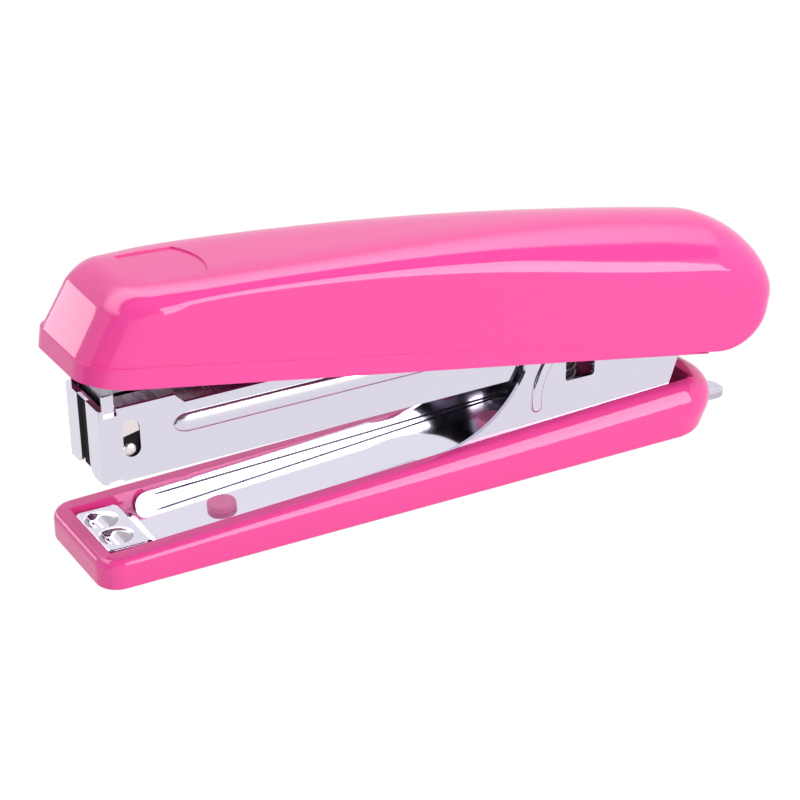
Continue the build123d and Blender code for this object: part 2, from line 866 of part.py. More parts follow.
def skirt_region():
    """Side view of the lower band, which steps down towards the heel."""
    low = -cover_bottom
    step_end = skirt_step_station + skirt_step_run
    return polygon(
        (-cover_reach - cover_wall, low),
        (cover_tail + cover_wall, low),
        (cover_tail + cover_wall, low + skirt_heel_height),
        (step_end, low + skirt_heel_height),
        (skirt_step_station, low + skirt_height),
        (-cover_reach - cover_wall, low + skirt_height),
    )


def make_handle_cover():
    lower_band = plate(skirt_region(), -cover_width, cover_width)
    upper = cover_block(0, cover_edge_round, skirt_proud, cover_heel_lift) - lower_band
    skirt = cover_block(0, cover_edge_round, 0, cover_heel_lift) & lower_band
    cover = upper + skirt
    cover -= cover_block(cover_wall, cover_inner_round, skirt_proud, hollow_heel_lift)
    for x in screw_stations:
        boss = upright(screw_boss_radius, x, 0, frame_web_top, crest_height(x) - cover_wall / 2)
        cover += boss
        cover -= upright(screw_radius, x, 0, frame_web_top, frame_web + screw_length + screw_tip_play)
    return at_pivot(cover - label_recess(), handle_rest_tilt)


def label_recess():
    """Shallow blank panel sunk in the top near the nose."""
    start = -cover_reach + label_setback
    plan = Pos(start + label_length / 2, 0) * Rectangle(label_length, label_width)
    plan = fillet(plan.vertices(), label_corner)
    low = crest_height(start) - label_depth
    high = crest_height(start + label_length) - label_depth
    above = polygon(
        (start, low),
        (start + label_length, high),
        (start + label_length, cover_crest),
        (start, cover_crest),
    )
    return extrude(plan, amount=cover_crest) & plate(above, -cover_width, cover_width)


def make_handle_frame():
    frame = block(-frame_front, frame_rear, -frame_half, frame_half, frame_web, frame_web_top)
    side = polygon(
        (-frame_front, frame_wall_bottom),
        (-frame_arm_start, frame_wall_bottom),
        (-frame_arm_radius, -frame_arm_radius / 2),
        (0, 0),
        (frame_rear, 0),
        (frame_rear, frame_web_top),
        (-frame_front, frame_web_top),
    )
    side += Circle(frame_arm_radius)
    side -= Circle(pin_radius + running_clearance)
    frame += both_sides(plate(side, -frame_half, -frame_inner))
    nose_end = -frame_front + frame_nose_length
    corner = polygon(
        (-frame_front, frame_wall_bottom),
        (nose_end, frame_wall_bottom),
        (nose_end, frame_web_top),
        (-frame_front, frame_web_top),
    )
    frame -= both_sides(plate(corner, -frame_half, -frame_nose_half_width))
    for x in screw_stations:
        frame -= upright(screw_radius, x, 0, frame_web, frame_web_top)
    for x in (driver_rivet_station(), leaf_rivet_station()):
        frame -= rivet_shanks(x)
    return at_pivot(frame, handle_rest_tilt)


def driver_front():
    """Front face of the driver blade and the height of its tip, in the handle's drawing."""
    return seen_from_handle(guide_back + driver_guide_gap, crown_top + driver_rest_gap)


def driver_rivet_station():
    return driver_front()[0] + driver_tab_length - driver_rivet_setback


def leaf_rivet_station():
    return -leaf_front + leaf_flat_length / 2


def rivet_shanks(x):
    """Two shanks side by side, from under the thin sheet to over the frame's web."""
    low = frame_web - driver_sheet
    shanks = [upright(rivet_radius, x, side * rivet_spacing / 2, low, frame_web_top) for side in (-1, 1)]
    return shanks


def make_rivets(x):
    rivets = Part()
    for side, shank in zip((-1, 1), rivet_shanks(x)):
        y = side * rivet_spacing / 2
        top = upright(rivet_head_radius, x, y, frame_web_top, frame_web_top + rivet_head_height)
        low = frame_web - driver_sheet
        bottom = upright(rivet_head_radius, x, y, low - rivet_head_height, low)
        rivets += shank + top + bottom
    return at_pivot(rivets, handle_rest_tilt)


def make_driver_blade():
    front, tip = driver_front()
    half = driver_width / 2
    blade = block(front, front + driver_sheet, -half, half, tip, frame_web)
    tab = block(front, front + driver_tab_length, -half, half, frame_web - driver_sheet, frame_web)
    driver = blade + tab
    for shank in rivet_shanks(driver_rivet_station()):
        driver -= shank
    return at_pivot(driver, handle_rest_tilt)


def make_return_leaf():
    """Leaf that leaves the frame's web and presses on the bracket of the magazine."""
    touch_x, touch_z = seen_from_handle(-bracket_front + bracket_sheet / 2, bracket_top)
    low = touch_z + leaf_gap
    web_low = frame_web - leaf_sheet
    flat_end = -leaf_front + leaf_flat_length
    lower = [
        (-leaf_front, web_low),
        (flat_end, web_low),
        (touch_x - leaf_toe, low),
        (touch_x, low),
        (touch_x + leaf_toe, low + leaf_sheet),
    ]
    upper = [(x, z + leaf_sheet) for x, z in reversed(lower)]
    leaf = plate(polygon(*lower, *upper), -leaf_half_width, leaf_half_width)
    for shank in rivet_shanks(leaf_rivet_station()):
        leaf -= shank
    return at_pivot(leaf, handle_rest_tilt)


def make_cover_screws():
    screws = Part()
    for x in screw_stations:
        low = frame_web - screw_head_height
        head = upright(screw_head_radius, x, 0, low, frame_web)
        head -= block(
            x - screw_head_radius, x + screw_head_radius,
            -screw_drive_width / 2, screw_drive_width / 2,
            low, low + screw_drive_depth,
        )
        screws += head + upright(screw_radius, x, 0, frame_web, frame_web + screw_length)
    return at_pivot(screws, handle_rest_tilt)


def make_pieces():
    return {
        "base_tray": make_base_tray(),
        "base_channel": make_base_channel(),
        "anvil_plate": make_anvil_plate(),
        "remover_tongue": make_remover_tongue(),
        "pivot_pin": make_pivot_pin(),
        "pivot_sleeve": make_pivot_sleeve(),
        "lift_spring": make_lift_spring(),
        "magazine_channel": make_magazine_channel(),
        "staple_rail": make_staple_rail(),
        "driver_guide": make_driver_guide(),
        "staple_strip": make_staple_strip(),
        "spring_bracket": make_spring_bracket(),
        "follower_rod": make_follower_rod(),
        "follower_spring": make_follower_spring(),
        "follower": make_follower(),
        "handle_cover": make_handle_cover(),
        "handle_frame": make_handle_frame(),
        "driver_blade": make_driver_blade(),
        "driver_rivets": make_rivets(driver_rivet_station()),
        "return_leaf": make_return_leaf(),
        "leaf_rivets": make_rivets(leaf_rivet_station()),
        "cover_screws": make_cover_screws(),
    }


if __name__ == "__main__":
    os.makedirs("parts", exist_ok=True)
    for name, piece in make_pieces().items():
        export_step(piece, f"parts/{name}.step")
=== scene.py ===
"""A small hand stapler with a glossy pink cover and base and a chromed magazine."""

import json
import math

import bpy
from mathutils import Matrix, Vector


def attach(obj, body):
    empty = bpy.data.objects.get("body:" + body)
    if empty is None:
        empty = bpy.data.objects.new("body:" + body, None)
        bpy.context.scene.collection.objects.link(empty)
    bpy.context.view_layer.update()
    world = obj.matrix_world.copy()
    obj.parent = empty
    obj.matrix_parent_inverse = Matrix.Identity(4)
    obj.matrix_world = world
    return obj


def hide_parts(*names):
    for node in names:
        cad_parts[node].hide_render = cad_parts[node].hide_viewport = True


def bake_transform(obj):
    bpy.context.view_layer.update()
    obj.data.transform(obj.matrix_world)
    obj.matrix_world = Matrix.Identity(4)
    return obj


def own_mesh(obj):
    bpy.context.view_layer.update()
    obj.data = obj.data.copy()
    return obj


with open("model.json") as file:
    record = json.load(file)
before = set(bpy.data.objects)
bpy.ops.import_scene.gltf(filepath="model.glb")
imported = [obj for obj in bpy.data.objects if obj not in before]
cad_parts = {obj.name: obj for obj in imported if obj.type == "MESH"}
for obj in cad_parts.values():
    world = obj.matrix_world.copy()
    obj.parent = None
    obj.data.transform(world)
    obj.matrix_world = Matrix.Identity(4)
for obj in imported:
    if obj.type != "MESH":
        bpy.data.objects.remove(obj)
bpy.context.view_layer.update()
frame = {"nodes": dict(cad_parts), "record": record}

bl_info = {
    "name": "Stapler finish",
    "version": (1, 0, 0),
    "blender": (4, 5, 0),
    "location": "3D View > Sidebar > Stapler",
    "description": "Models and finishes the visible pieces of a hand stapler",
    "category": "Object",
}

MM = 0.001

# Vertices closer than this, in metres, are welded
WELD = 0.00001

# Places in millimetres and slopes in degrees that several pieces share
PIVOT_X = 36.75
PIVOT_Z = 18.5
HANDLE_TILT = 9.5
MAGAZINE_TILT = -0.8
BASE_FRONT = -48.25
FLOOR_FRONT = 9.4
FLOOR_HEIGHT = 1.95
FLOOR_RISE = 3.3

# Cover: exponents of its dome's section, and drops of its shoulders in front, behind and inside
SQUARE = 4.0
OVAL = 2.0
TAIL_OVAL = 2.3
SHOULDER_FRONT = 2.9
SHOULDER_REAR = 6.2
HOLLOW_SHOULDER = 5.4

# Cover: height of its lower band, and how far its hollow goes past the open edge
BAND_HEIGHT = 2.5
MOUTH = 4.0

# Cover's nose panel: turn and width of the bend at each side, shares of bend and face, bulge
BEND_TURN = 75.0
BEND_WIDTH = 4.4
BEND_SHARE = 0.7
FACE_SHARE = 0.3
PANEL_BULGE = 0.12

# Stake heads of the tray
STUD_STATIONS = (20.5, 62.0)
STUD_RADIUS = 1.95
STUD_HEIGHT = 0.9
STUD_ROUND = 0.3

# Window in the magazine's nose: middle, length and width
WINDOW_ALONG = -78.675
WINDOW_UP = 0.95
WINDOW_LENGTH = 4.98
WINDOW_WIDTH = 2.2

# Middle part of a noise's values, and stretches of a noise along the axes
NOISE_SPAN = (0.3, 0.7)
EVEN = (1.0, 1.0, 1.0)
ROLLED = (0.15, 1.0, 1.0)
BRUSHED = (0.05, 1.0, 1.0)
DRAWN = (1.0, 0.1, 1.0)

# Finishes with a grain: name, colour property, share of metal, roughness,
# scale, detail and stretch of the noise, depth in metres and strength of its relief
GRAINED = (
    ("chrome_sheet", "chrome", 1.0, (0.05, 0.11), 120.0, 4.0, ROLLED, 0.000004, 0.3),
    ("pressed_bead", "chrome", 1.0, (0.2, 0.28), 120.0, 4.0, ROLLED, 0.000004, 0.3),
    # The near-black finish below paints the shade along the creases of the channel's walls
    ("wall_crease", "crease", 1.0, (0.2, 0.28), 120.0, 4.0, ROLLED, 0.000004, 0.3),
    # The satin steel of the inner pieces is darkened as painted shade of the magazine's inside
    ("satin_steel", "steel", 1.0, (0.24, 0.38), 700.0, 4.0, BRUSHED, 0.00001, 0.3),
    ("spring_steel", "spring", 1.0, (0.25, 0.4), 900.0, 4.0, EVEN, 0.00001, 0.3),
    # The staple wire's tint is darkened as painted shade of the magazine's inside
    ("staple_wire", "staple", 1.0, (0.2, 0.34), 900.0, 4.0, DRAWN, 0.00001, 0.3),
    ("tongue_steel", "tongue", 1.0, (0.2, 0.3), 700.0, 4.0, BRUSHED, 0.00001, 0.3),
    ("nickel_fitting", "fitting", 1.0, (0.24, 0.36), 500.0, 4.0, EVEN, 0.000004, 0.3),
    # The darker chrome below is painted shade in the anvil's pressed dish
    ("anvil_dish", "dish", 1.0, (0.16, 0.26), 300.0, 4.0, EVEN, 0.000004, 0.3),
    ("follower_plastic", "follower", 0.0, (0.42, 0.6), 1800.0, 3.0, EVEN, 0.00003, 0.4),
    # The stud heads' finish is lighter than the tray's pink: partly their frosting, partly painted
    # light against the shadow over them
    ("frosted_plastic", "stud", 0.0, (0.35, 0.6), 1500.0, 4.0, EVEN, 0.0001, 0.6),
)

# Lamps: name, place, width, height, power and whether mirrors see them
LAMPS = (
    ("near_softbox", (0.34, -0.58, 0.215), 0.45, 0.37, 3.1, True),
    ("far_softbox", (-0.36, 0.6, 0.06), 0.24, 0.24, 0.55, True),
    ("top_fill", (0.1, -0.02, 0.65), 0.6, 0.6, 3.0, False),
    ("front_fill", (-0.62, -0.2, 0.2), 0.4, 0.4, 0.9, False),
)
LAMP_TARGET = (0.0, 0.0, 0.03)


def colour(name, description, *default):
    """A colour that a user would change."""
    return bpy.props.FloatVectorProperty(
        name=name, description=description, subtype="COLOR", size=4, default=(*default, 1.0))


def number(name, description, default, unit="NONE"):
    """A size, angle or strength that a user would change."""
    return bpy.props.FloatProperty(
        name=name, description=description, default=default, unit=unit)


def vector(name, description, default, subtype, unit="NONE"):
    """A place or direction that a user would change."""
    return bpy.props.FloatVectorProperty(
        name=name, description=description, default=default, subtype=subtype, unit=unit)


class StaplerColours(bpy.types.PropertyGroup):
    """Colours of the stapler's finishes."""

    plastic: colour("Plastic", "Body colour of the moulded cover and tray", 0.79, 0.062, 0.3)
    chrome: colour("Chrome", "Tint of the plated sheet metal", 0.77, 0.745, 0.85)
    # Painted shade: near-black tint of the fine lines along the creases of the channel's walls
    crease: colour(
        "Crease", "Tint of the shaded creases in the channel's walls", 0.085, 0.083, 0.09)
    # Steel: satin steel tint, darkened as painted shade for the pieces inside the magazine; the
    # tongue outside has its own lighter copy
    steel: colour("Steel", "Tint of the satin steel pieces", 0.42, 0.4, 0.43)
    tongue: colour("Tongue", "Tint of the staple remover tongue", 0.58, 0.56, 0.65)
    fitting: colour("Fitting", "Tint of the nickel fittings behind the window", 0.86, 0.79, 0.78)
    # Painted shade: darker chrome tint for the faces inside the anvil's dish
    dish: colour("Dish", "Tint of the pressed dish in the anvil", 0.4, 0.38, 0.4)
    # Stud: lighter than the tray's pink, partly the frosting of the staked heads and partly painted
    # light against the magazine's shadow on them
    stud: colour("Stud", "Colour of the frosted stud heads", 1.0, 0.27, 0.52)
    spring: colour("Spring wire", "Tint of the drawn spring wire", 0.34, 0.34, 0.37)
    # Staple wire: galvanised tint, darkened as painted shade of the magazine's inside
    staple: colour("Staple wire", "Tint of the galvanised staple wire", 0.28, 0.26, 0.28)
    follower: colour("Follower", "Colour of the staple follower", 0.03, 0.03, 0.033)
    # Painted shade: near-black colour of the sheets standing for the unlit inside of the magazine
    gap: colour("Gap", "Colour of the unlit inside of the magazine", 0.012, 0.009, 0.011)
    floor: colour("Floor", "Colour of the studio floor", 0.9, 0.9, 0.9)


class StaplerCover(bpy.types.PropertyGroup):
    """Shape of the handle cover, drawn flat and measured from the pivot, in millimetres."""

    nose: number("Nose", "Front end of the cover", -86.0)
    crest: number("Crest", "Height of the arched top", 12.3)
    crest_station: number("Crest place", "Place of the crest", -2.0)
    arch_fall: number("Arch fall", "Drop of the arch at its front end", 6.5)
    arch_reach: number("Arch reach", "Length of the arch before the crest", 80.65)
    lower_edge: number("Lower edge", "Height of the open edge", -5.0)
    half_width: number("Half width", "Half width at the open edge", 10.22)
    draft: number("Draft", "Lean of the sides", 0.0349, "ROTATION")
    wall: number("Wall", "Thickness of the moulding", 1.5)
    skirt: number("Skirt", "How far the lower band stands out", 0.2)
    skirt_lean: number("Skirt lean", "Lean of the lower band", 0.08, "ROTATION")


class StaplerTray(bpy.types.PropertyGroup):
    """Shape of the base tray, measured from its front end, in millimetres."""

    length: number("Length", "Length of the tray", 96.5)
    half_width: number("Half width", "Half width of the tray", 9.6)
    front_corner: number("Front corner", "Radius at the front", 3.0)
    rear_corner: number("Rear corner", "Radius at the rear", 8.0)
    front_height: number("Front height", "Rim height at the front", 4.0)
    rear_height: number("Rear height", "Rim height at the rear", 7.9)
    opening_half: number("Opening", "Half width of the pocket", 6.87)
    swell: number("Swell", "Swell of the rear end", 1.1)
    swell_height: number("Swell height", "Height of the full swell", 5.0)
    sole_set: number("Sole set", "Set-back of the sole's rear edge", 1.0)


class StaplerAnvil(bpy.types.PropertyGroup):
    """Shape of the anvil plate, measured from the base's front end, in millimetres."""

    front: number("Front", "Front edge of the plate", 2.2)
    rear: number("Rear", "Rear edge of the flat deck", 8.0)
    half_width: number("Half width", "Half width of the deck", 5.75)
    corner: number("Corner", "Radius of the deck's corners", 0.9)
    top: number("Top", "Height of the deck", 3.75)
    sheet: number("Sheet", "Thickness of the plate", 0.7)
    groove: number("Groove", "Depth of the clinching grooves", 0.5)
    dish: number("Dish", "Depth of the dish round the grooves", 0.2)


class StaplerStage(bpy.types.PropertyGroup):
    """Camera and light of the stage."""

    lens: number("Lens", "Focal length for a 36 mm sensor", 90.0, "CAMERA")
    camera_place: vector(
        "Camera", "Place of the camera", (-0.12392, -0.21164, 0.12505), "TRANSLATION", "LENGTH")
    camera_target: vector(
        "Target", "Point that the camera looks at", (-0.00083, 0.0, 0.01167),
        "TRANSLATION", "LENGTH")
    sky: number("Sky", "Strength of the even light from all round", 0.36)
    mirror_sky: number("Mirror sky", "Strength of the surround that mirrors see", 0.98)
    mirror_top: number("Mirror top", "Strength of the surround overhead that mirrors see", 4.3)
    mirror_dark: number("Mirror dark", "Share of the surround left in its dark parts", 0.04)
    dark_side: vector(
        "Dark side", "Way to the dark part above the near side", (0.08, -0.5, 0.86), "DIRECTION")
    dark_corner: vector(
        "Dark corner", "Way to the dark part before the nose's near corner",
        (-0.836, -0.507, 0.21), "DIRECTION")


def blend(low, high, share):
    """Soft step from one value to another."""
    share = min(max(share, 0.0), 1.0)
    return low + (high - low) * share * share * (3.0 - 2.0 * share)


def shares(steps, first=0):
    """Even shares of a whole, from the first step on."""
    return [count / steps for count in range(first, steps + 1)]


def channel_floor(station):
    """Height of the base channel's floor at a distance behind the front of the base."""
    return FLOOR_HEIGHT + math.tan(math.radians(FLOOR_RISE)) * (station - FLOOR_FRONT)


def from_pivot(along, across, up, tilt):
    """A point drawn level and measured from the pivot, tilted to its place in metres."""
    turn = math.radians(tilt)
    x = PIVOT_X + along * math.cos(turn) + up * math.sin(turn)
    z = PIVOT_Z - along * math.sin(turn) + up * math.cos(turn)
    return Vector((x, across, z)) * MM


def on_handle(along, across, up):
    """The place in metres of a point of the handle."""
    return from_pivot(along, across, up, HANDLE_TILT)


def on_magazine(along, across, up):
    """The place in metres of a point of the magazine."""
    return from_pivot(along, across, up, MAGAZINE_TILT)


def on_base(station, across, up):
    """The place in metres of a point of the base, measured from its front end."""
    return Vector((BASE_FRONT + station, across, up)) * MM


def start_piece(name):
    """Names the piece that was just added and makes it the only one selected."""
    piece = bpy.context.object
    piece.name = name
    piece.data.name = name
    bpy.ops.object.select_all(action="DESELECT")
    piece.select_set(True)
    return piece


def choose(piece, kind, test):
    """Selects a piece's faces, edges or vertices that pass a test, and stays in edit mode."""
    modes = {"polygons": "FACE", "edges": "EDGE", "vertices": "VERT"}
    bpy.context.view_layer.objects.active = piece
    bpy.ops.object.mode_set(mode="EDIT")
    bpy.ops.mesh.select_mode(type=modes[kind])
    bpy.ops.mesh.select_all(action="DESELECT")
    bpy.ops.object.mode_set(mode="OBJECT")
    for element in getattr(piece.data, kind):
        element.select = test(element)
    bpy.ops.object.mode_set(mode="EDIT")


def finish_editing():
    """Turns the faces of the edited piece outwards and leaves edit mode."""
    bpy.ops.mesh.select_all(action="SELECT")
    bpy.ops.mesh.normals_make_consistent(inside=False)
    bpy.ops.object.mode_set(mode="OBJECT")


def weld(piece):
    """Welds the vertices of a piece that lie on each other."""
    choose(piece, "vertices", lambda vertex: True)
    bpy.ops.mesh.remove_doubles(threshold=WELD)
    finish_editing()


def apply_modifier(piece, kind, **settings):
    """Adds one modifier, sets it and applies it."""
    bpy.context.view_layer.objects.active = piece
    modifier = piece.modifiers.new(kind.lower(), kind)
    for name, value in settings.items():
        setattr(modifier, name, value)
    bpy.ops.object.modifier_apply(modifier=modifier.name)


def combine(piece, other, operation):
    """Changes a piece by the shape of another one, which is used up."""
    apply_modifier(piece, "BOOLEAN", object=other, operation=operation, solver="EXACT")
    bpy.data.objects.remove(other, do_unlink=True)


def smooth(piece, degrees):
    """Smooth shading up to an angle, with the large faces leading."""
    bpy.ops.object.select_all(action="DESELECT")
    piece.select_set(True)
    bpy.context.view_layer.objects.active = piece
    bpy.ops.object.shade_smooth_by_angle(angle=math.radians(degrees))
    apply_modifier(piece, "WEIGHTED_NORMAL", keep_sharp=True, weight=80)


def join(pieces):
    """Joins pieces into the first of them."""
    bpy.ops.object.select_all(action="DESELECT")
    for piece in pieces:
        piece.select_set(True)
    bpy.context.view_layer.objects.active = pieces[0]
    bpy.ops.object.join()
    return pieces[0]


def grow(name, loops):
    """A closed piece that grows from one filled loop, with an extrusion to each next loop."""
    bpy.ops.mesh.primitive_circle_add(vertices=len(loops[0]), fill_type="NGON")
    piece = start_piece(name)
    for vertex, place in zip(piece.data.vertices, loops[0]):
        vertex.co = place

    def apart(index, place):
        return (piece.data.vertices[index].co - place).length

    choose(piece, "polygons", lambda face: True)
    for earlier, loop in zip(loops, loops[1:]):
        bpy.ops.mesh.extrude_region_move()
        bpy.ops.object.mode_set(mode="OBJECT")
        cap = next(face for face in piece.data.polygons if face.select)
        taken = list(cap.vertices)
        first = min(range(len(taken)), key=lambda count: apart(taken[count], earlier[0]))
        taken = taken[first:] + taken[:first]
        if apart(taken[1], earlier[1]) > apart(taken[-1], earlier[1]):
            taken = [taken[0]] + taken[:0:-1]
        for index, place in zip(taken, loop):
            piece.data.vertices[index].co = place
        bpy.ops.object.mode_set(mode="EDIT")
    finish_editing()
    return piece


def slab(name, place, outline, sides):
    """A piece with one side view, drawn along and up, from one place across to another."""
    return grow(name, [[place(along, across, up) for along, up in outline] for across in sides])


def add_block(name, low, high):
    """A box between two corners."""
    bpy.ops.mesh.primitive_cube_add(size=1.0)
    piece = start_piece(name)
    for vertex in piece.data.vertices:
        share = vertex.co + Vector((0.5, 0.5, 0.5))
        vertex.co = [low[axis] + (high[axis] - low[axis]) * share[axis] for axis in range(3)]
    return piece


def set_values(node, values):
    """Gives inputs of a node, by name or number, their values."""
    for name, value in values.items():
        node.inputs[name].default_value = value


def add_node(tree, kind, values=None, **settings):
    """A new node with its settings and the values of its inputs."""
    node = tree.nodes.new("ShaderNode" + kind)
    for name, value in settings.items():
        setattr(node, name, value)
    set_values(node, values or {})
    return node


def map_range(tree, source, before, after, interpolation="LINEAR"):
    """Spreads the values of one span over another."""
    spread = add_node(tree, "MapRange", interpolation_type=interpolation)
    names = ("From Min", "From Max", "To Min", "To Max")
    set_values(spread, dict(zip(names, (*before, *after))))
    tree.links.new(source, spread.inputs["Value"])
    return spread.outputs["Result"]


def noise_value(tree, scale, detail, stretch=EVEN):
    """Noise on the object's own coordinates, stretched along its axes."""
    place = add_node(tree, "TexCoord")
    turn = add_node(tree, "Mapping", {"Scale": stretch})
    noise = add_node(tree, "TexNoise", {"Scale": scale, "Detail": detail})
    tree.links.new(place.outputs["Object"], turn.inputs["Vector"])
    tree.links.new(turn.outputs["Vector"], noise.inputs["Vector"])
    return noise.outputs["Fac"]


def add_grain(tree, shader, rough, gloss, relief, depth, strength):
    """Lets one noise spread the roughness, and one raise a fine relief."""
    spread = map_range(tree, gloss, NOISE_SPAN, rough)
    bump = add_node(tree, "Bump", {"Distance": depth, "Strength": strength})
    tree.links.new(spread, shader.inputs["Roughness"])
    tree.links.new(relief, bump.inputs["Height"])
    tree.links.new(bump.outputs["Normal"], shader.inputs["Normal"])


def new_material(name, values):
    """A new finish: its node tree, and its Principled shader with some values set."""
    material = bpy.data.materials.new("finish_" + name)
    material.use_nodes = True
    shader = material.node_tree.nodes["Principled BSDF"]
    set_values(shader, values)
    return material.node_tree, shader


def glossy_plastic(colours):
    """The moulding's gloss, with a faint ripple in it."""
    tree, shader = new_material("pink_plastic", {"Base Color": colours.plastic, "IOR": 1.5})
    cloud = noise_value(tree, 260.0, 3.0)
    ripple = noise_value(tree, 900.0, 1.0)
    add_grain(tree, shader, (0.055, 0.085), cloud, ripple, depth=0.00002, strength=0.15)


def grained(name, tint, metallic, rough, scale, detail, stretch, depth, strength):
    """Metal or matt plastic whose roughness and relief follow one noise."""
    tree, shader = new_material(name, {"Base Color": tint, "Metallic": metallic})
    noise = noise_value(tree, scale, detail, stretch)
    add_grain(tree, shader, rough, noise, noise, depth, strength)


def give_finish(piece, *names):
    """Gives a piece its finishes in place of any that it has."""
    piece.data.materials.clear()
    for name in names:
        piece.data.materials.append(bpy.data.materials["finish_" + name])


class STAPLER_OT_metalwork(bpy.types.Operator):
    """Makes the finishes and gives every carried-over piece its own"""

    bl_idname = "stapler.metalwork"
    bl_label = "Finish the metalwork"

    def execute(self, context):
        colours = context.scene.stapler_colours
        glossy_plastic(colours)
        for name, tint, *look in GRAINED:
            grained(name, getattr(colours, tint), *look)
        # Near-black finish for the sheets of painted shade inside the magazine
        new_material("dark_gap", {
            "Base Color": colours.gap, "Roughness": 0.7, "Specular IOR Level": 0.1})
        for entry in frame["record"]["subparts"]:
            give_finish(frame["nodes"][entry["node"]], entry["material_slot"])
        give_finish(frame["nodes"]["remover_tongue"], "tongue_steel")
        return {"FINISHED"}


def arch_height(shape, along):
    """Height of the cover's arched top."""
    return shape.crest - shape.arch_fall * ((along - shape.crest_station) / shape.arch_reach) ** 2


def cover_outline(shape, inset, sunk, opens):
    """Points round the cover's side view.

    Each has its place, the matching edge of the flat side, the dome's rise beyond the outline,
    how square the dome's section is, and how far the flat nose panel has given way to the dome.
    """
    nose = shape.nose + inset
    band = shape.lower_edge + BAND_HEIGHT
    foot = shape.lower_edge + inset
    if opens:
        foot -= MOUTH
    points = []

    def top(along):
        return arch_height(shape, along) - sunk

    # The nose panel, from the open edge up to its top
    corner_reach = 5.6
    panel_top = Vector((nose + 2.4, band + 6.05 - sunk))
    inner_band = Vector((nose + corner_reach, band - 1.1))
    inner_corner = Vector((nose + 8.6, 3.0 - sunk))
    inner_share = 0.85
    points.append((Vector((nose, foot)), Vector((nose + corner_reach, foot)), 0.0, SQUARE, 0.0))
    points.append((Vector((nose, band)), inner_band, 0.0, SQUARE, 0.0))
    for share in (0.33, 0.67):
        outer = Vector((nose, band)).lerp(panel_top, share)
        inner = inner_band.lerp(inner_corner, share * inner_share)
        points.append((outer, inner, 0.0, SQUARE, 0.0))

    # The crown, an arc from the panel to the arched top
    crown_round = 5.9
    crown_start = 58.0
    crown_end = 8.6
    crown_lead = 6.5
    crown_share = 0.7
    side_share = 0.3
    crown_dome = 0.55
    crown_rise = 0.1
    side_lead = 12.0
    centre = Vector((nose + crown_lead, top(nose + crown_lead)))
    centre += crown_round * Vector((0.1495, -0.9888))
    inner_before = inner_band.lerp(inner_corner, inner_share)
    inner_after = Vector((nose + side_lead, top(nose + side_lead) - SHOULDER_FRONT))

    def inner_turn(share):
        before = inner_before.lerp(inner_corner, share)
        return before.lerp(inner_corner.lerp(inner_after, share), share)

    for share in shares(8):
        turn = math.radians(crown_start + (crown_end - crown_start) * share)
        outer = centre + crown_round * Vector((-math.sin(turn), math.cos(turn)))
        rise = blend(0.0, crown_rise, share)
        domed = blend(0.0, crown_dome, share)
        points.append((outer, inner_turn(crown_share * share), rise, SQUARE, domed))

    # The arched top, whose shoulders deepen and grow rounder towards the tail
    for lead in (7.8, 9.2, 10.6, 12.0, 14.0, 16.5, *range(19, 91, 3)):
        outer = Vector((nose + lead, top(nose + lead)))
        if lead < side_lead:
            inner = inner_turn(1.0 - side_share * (side_lead - lead) / (side_lead - crown_lead))
        else:
            drop = blend(SHOULDER_FRONT, SHOULDER_REAR, (lead - side_lead) / 70.0)
            inner = outer - Vector((0.0, drop))
        rise = blend(crown_rise, 1.0, (lead - 25.0) / 60.0)
        square = blend(SQUARE, OVAL, (lead - 14.0) / 70.0)
        domed = blend(crown_dome, 1.0, (lead - crown_lead) / 9.0)
        points.append((outer, inner, rise, square, domed))
    return points + cover_tail_outline(shape, inset, sunk, opens)


def ellipse_point(centre, run, fall, turn):
    """A point of an ellipse in the side view."""
    return centre + Vector((math.cos(turn) * run, math.sin(turn) * fall))


def cover_tail_outline(shape, inset, sunk, opens):
    """The rounded tail and heel behind the arched top, and the step down to an opening."""
    points = []
    tail = 21.2 - inset
    tail_run = 15.0 - inset
    tail_fall = 9.6 - inset
    heel_run = 11.5 - inset
    heel_fall = 7.6 - inset
    heel_edge = 0.4
    drop = HOLLOW_SHOULDER if opens else SHOULDER_REAR
    low = shape.lower_edge + inset
    tail_top = arch_height(shape, tail - tail_run) - sunk
    centre = Vector((tail - tail_run, tail_top - tail_fall))
    for share in shares(22, 1):
        turn = math.radians(90.0 - 90.0 * share)
        outer = ellipse_point(centre, tail_run, tail_fall, turn)
        inner = ellipse_point(centre, tail_run - drop, tail_fall - drop, turn)
        rise = blend(1.0, 0.0, share / 0.8)
        points.append((outer, inner, rise, blend(OVAL, TAIL_OVAL, share), 1.0))
    centre = Vector((tail - heel_run, low + heel_fall))
    for share in shares(16, 1):
        turn = math.radians(-90.0 * share)
        gap = blend(drop, heel_edge, share)
        outer = ellipse_point(centre, heel_run, heel_fall, turn)
        inner = ellipse_point(centre, heel_run - gap, heel_fall - gap, turn)
        points.append((outer, inner, 0.0, blend(TAIL_OVAL, SQUARE, share), 1.0))
    if opens:
        for up in (low, low - MOUTH):
            corner = Vector((centre.x - 1.0, up))
            points.append((corner, corner + Vector((-heel_edge, 0.5)), 0.0, SQUARE, 1.0))
    return points


def dome_point(inner, crown, side, square, share):
    """Place and distance across of the dome, from its side to the middle."""
    turn = math.radians(90.0 * share)
    size = (math.cos(turn) ** square + math.sin(turn) ** square) ** (1.0 / square)
    return inner.lerp(crown, math.sin(turn) / size), side * math.cos(turn) / size


def panel_point(inner, outer, bulge, side, share):
    """Place and distance across of the nose panel, from the bend at its side to the middle."""
    full = math.radians(BEND_TURN)
    bend = math.radians(BEND_TURN * min(share / BEND_SHARE, 1.0))
    place = inner.lerp(outer, math.sin(bend) / math.sin(full))
    if share <= BEND_SHARE:
        return place, side - BEND_WIDTH * (1.0 - math.cos(bend)) / (1.0 - math.cos(full))
    edge = side - BEND_WIDTH
    across = edge * (1.0 - share) / FACE_SHARE
    return place + bulge * (1.0 - (across / edge) ** 2), across


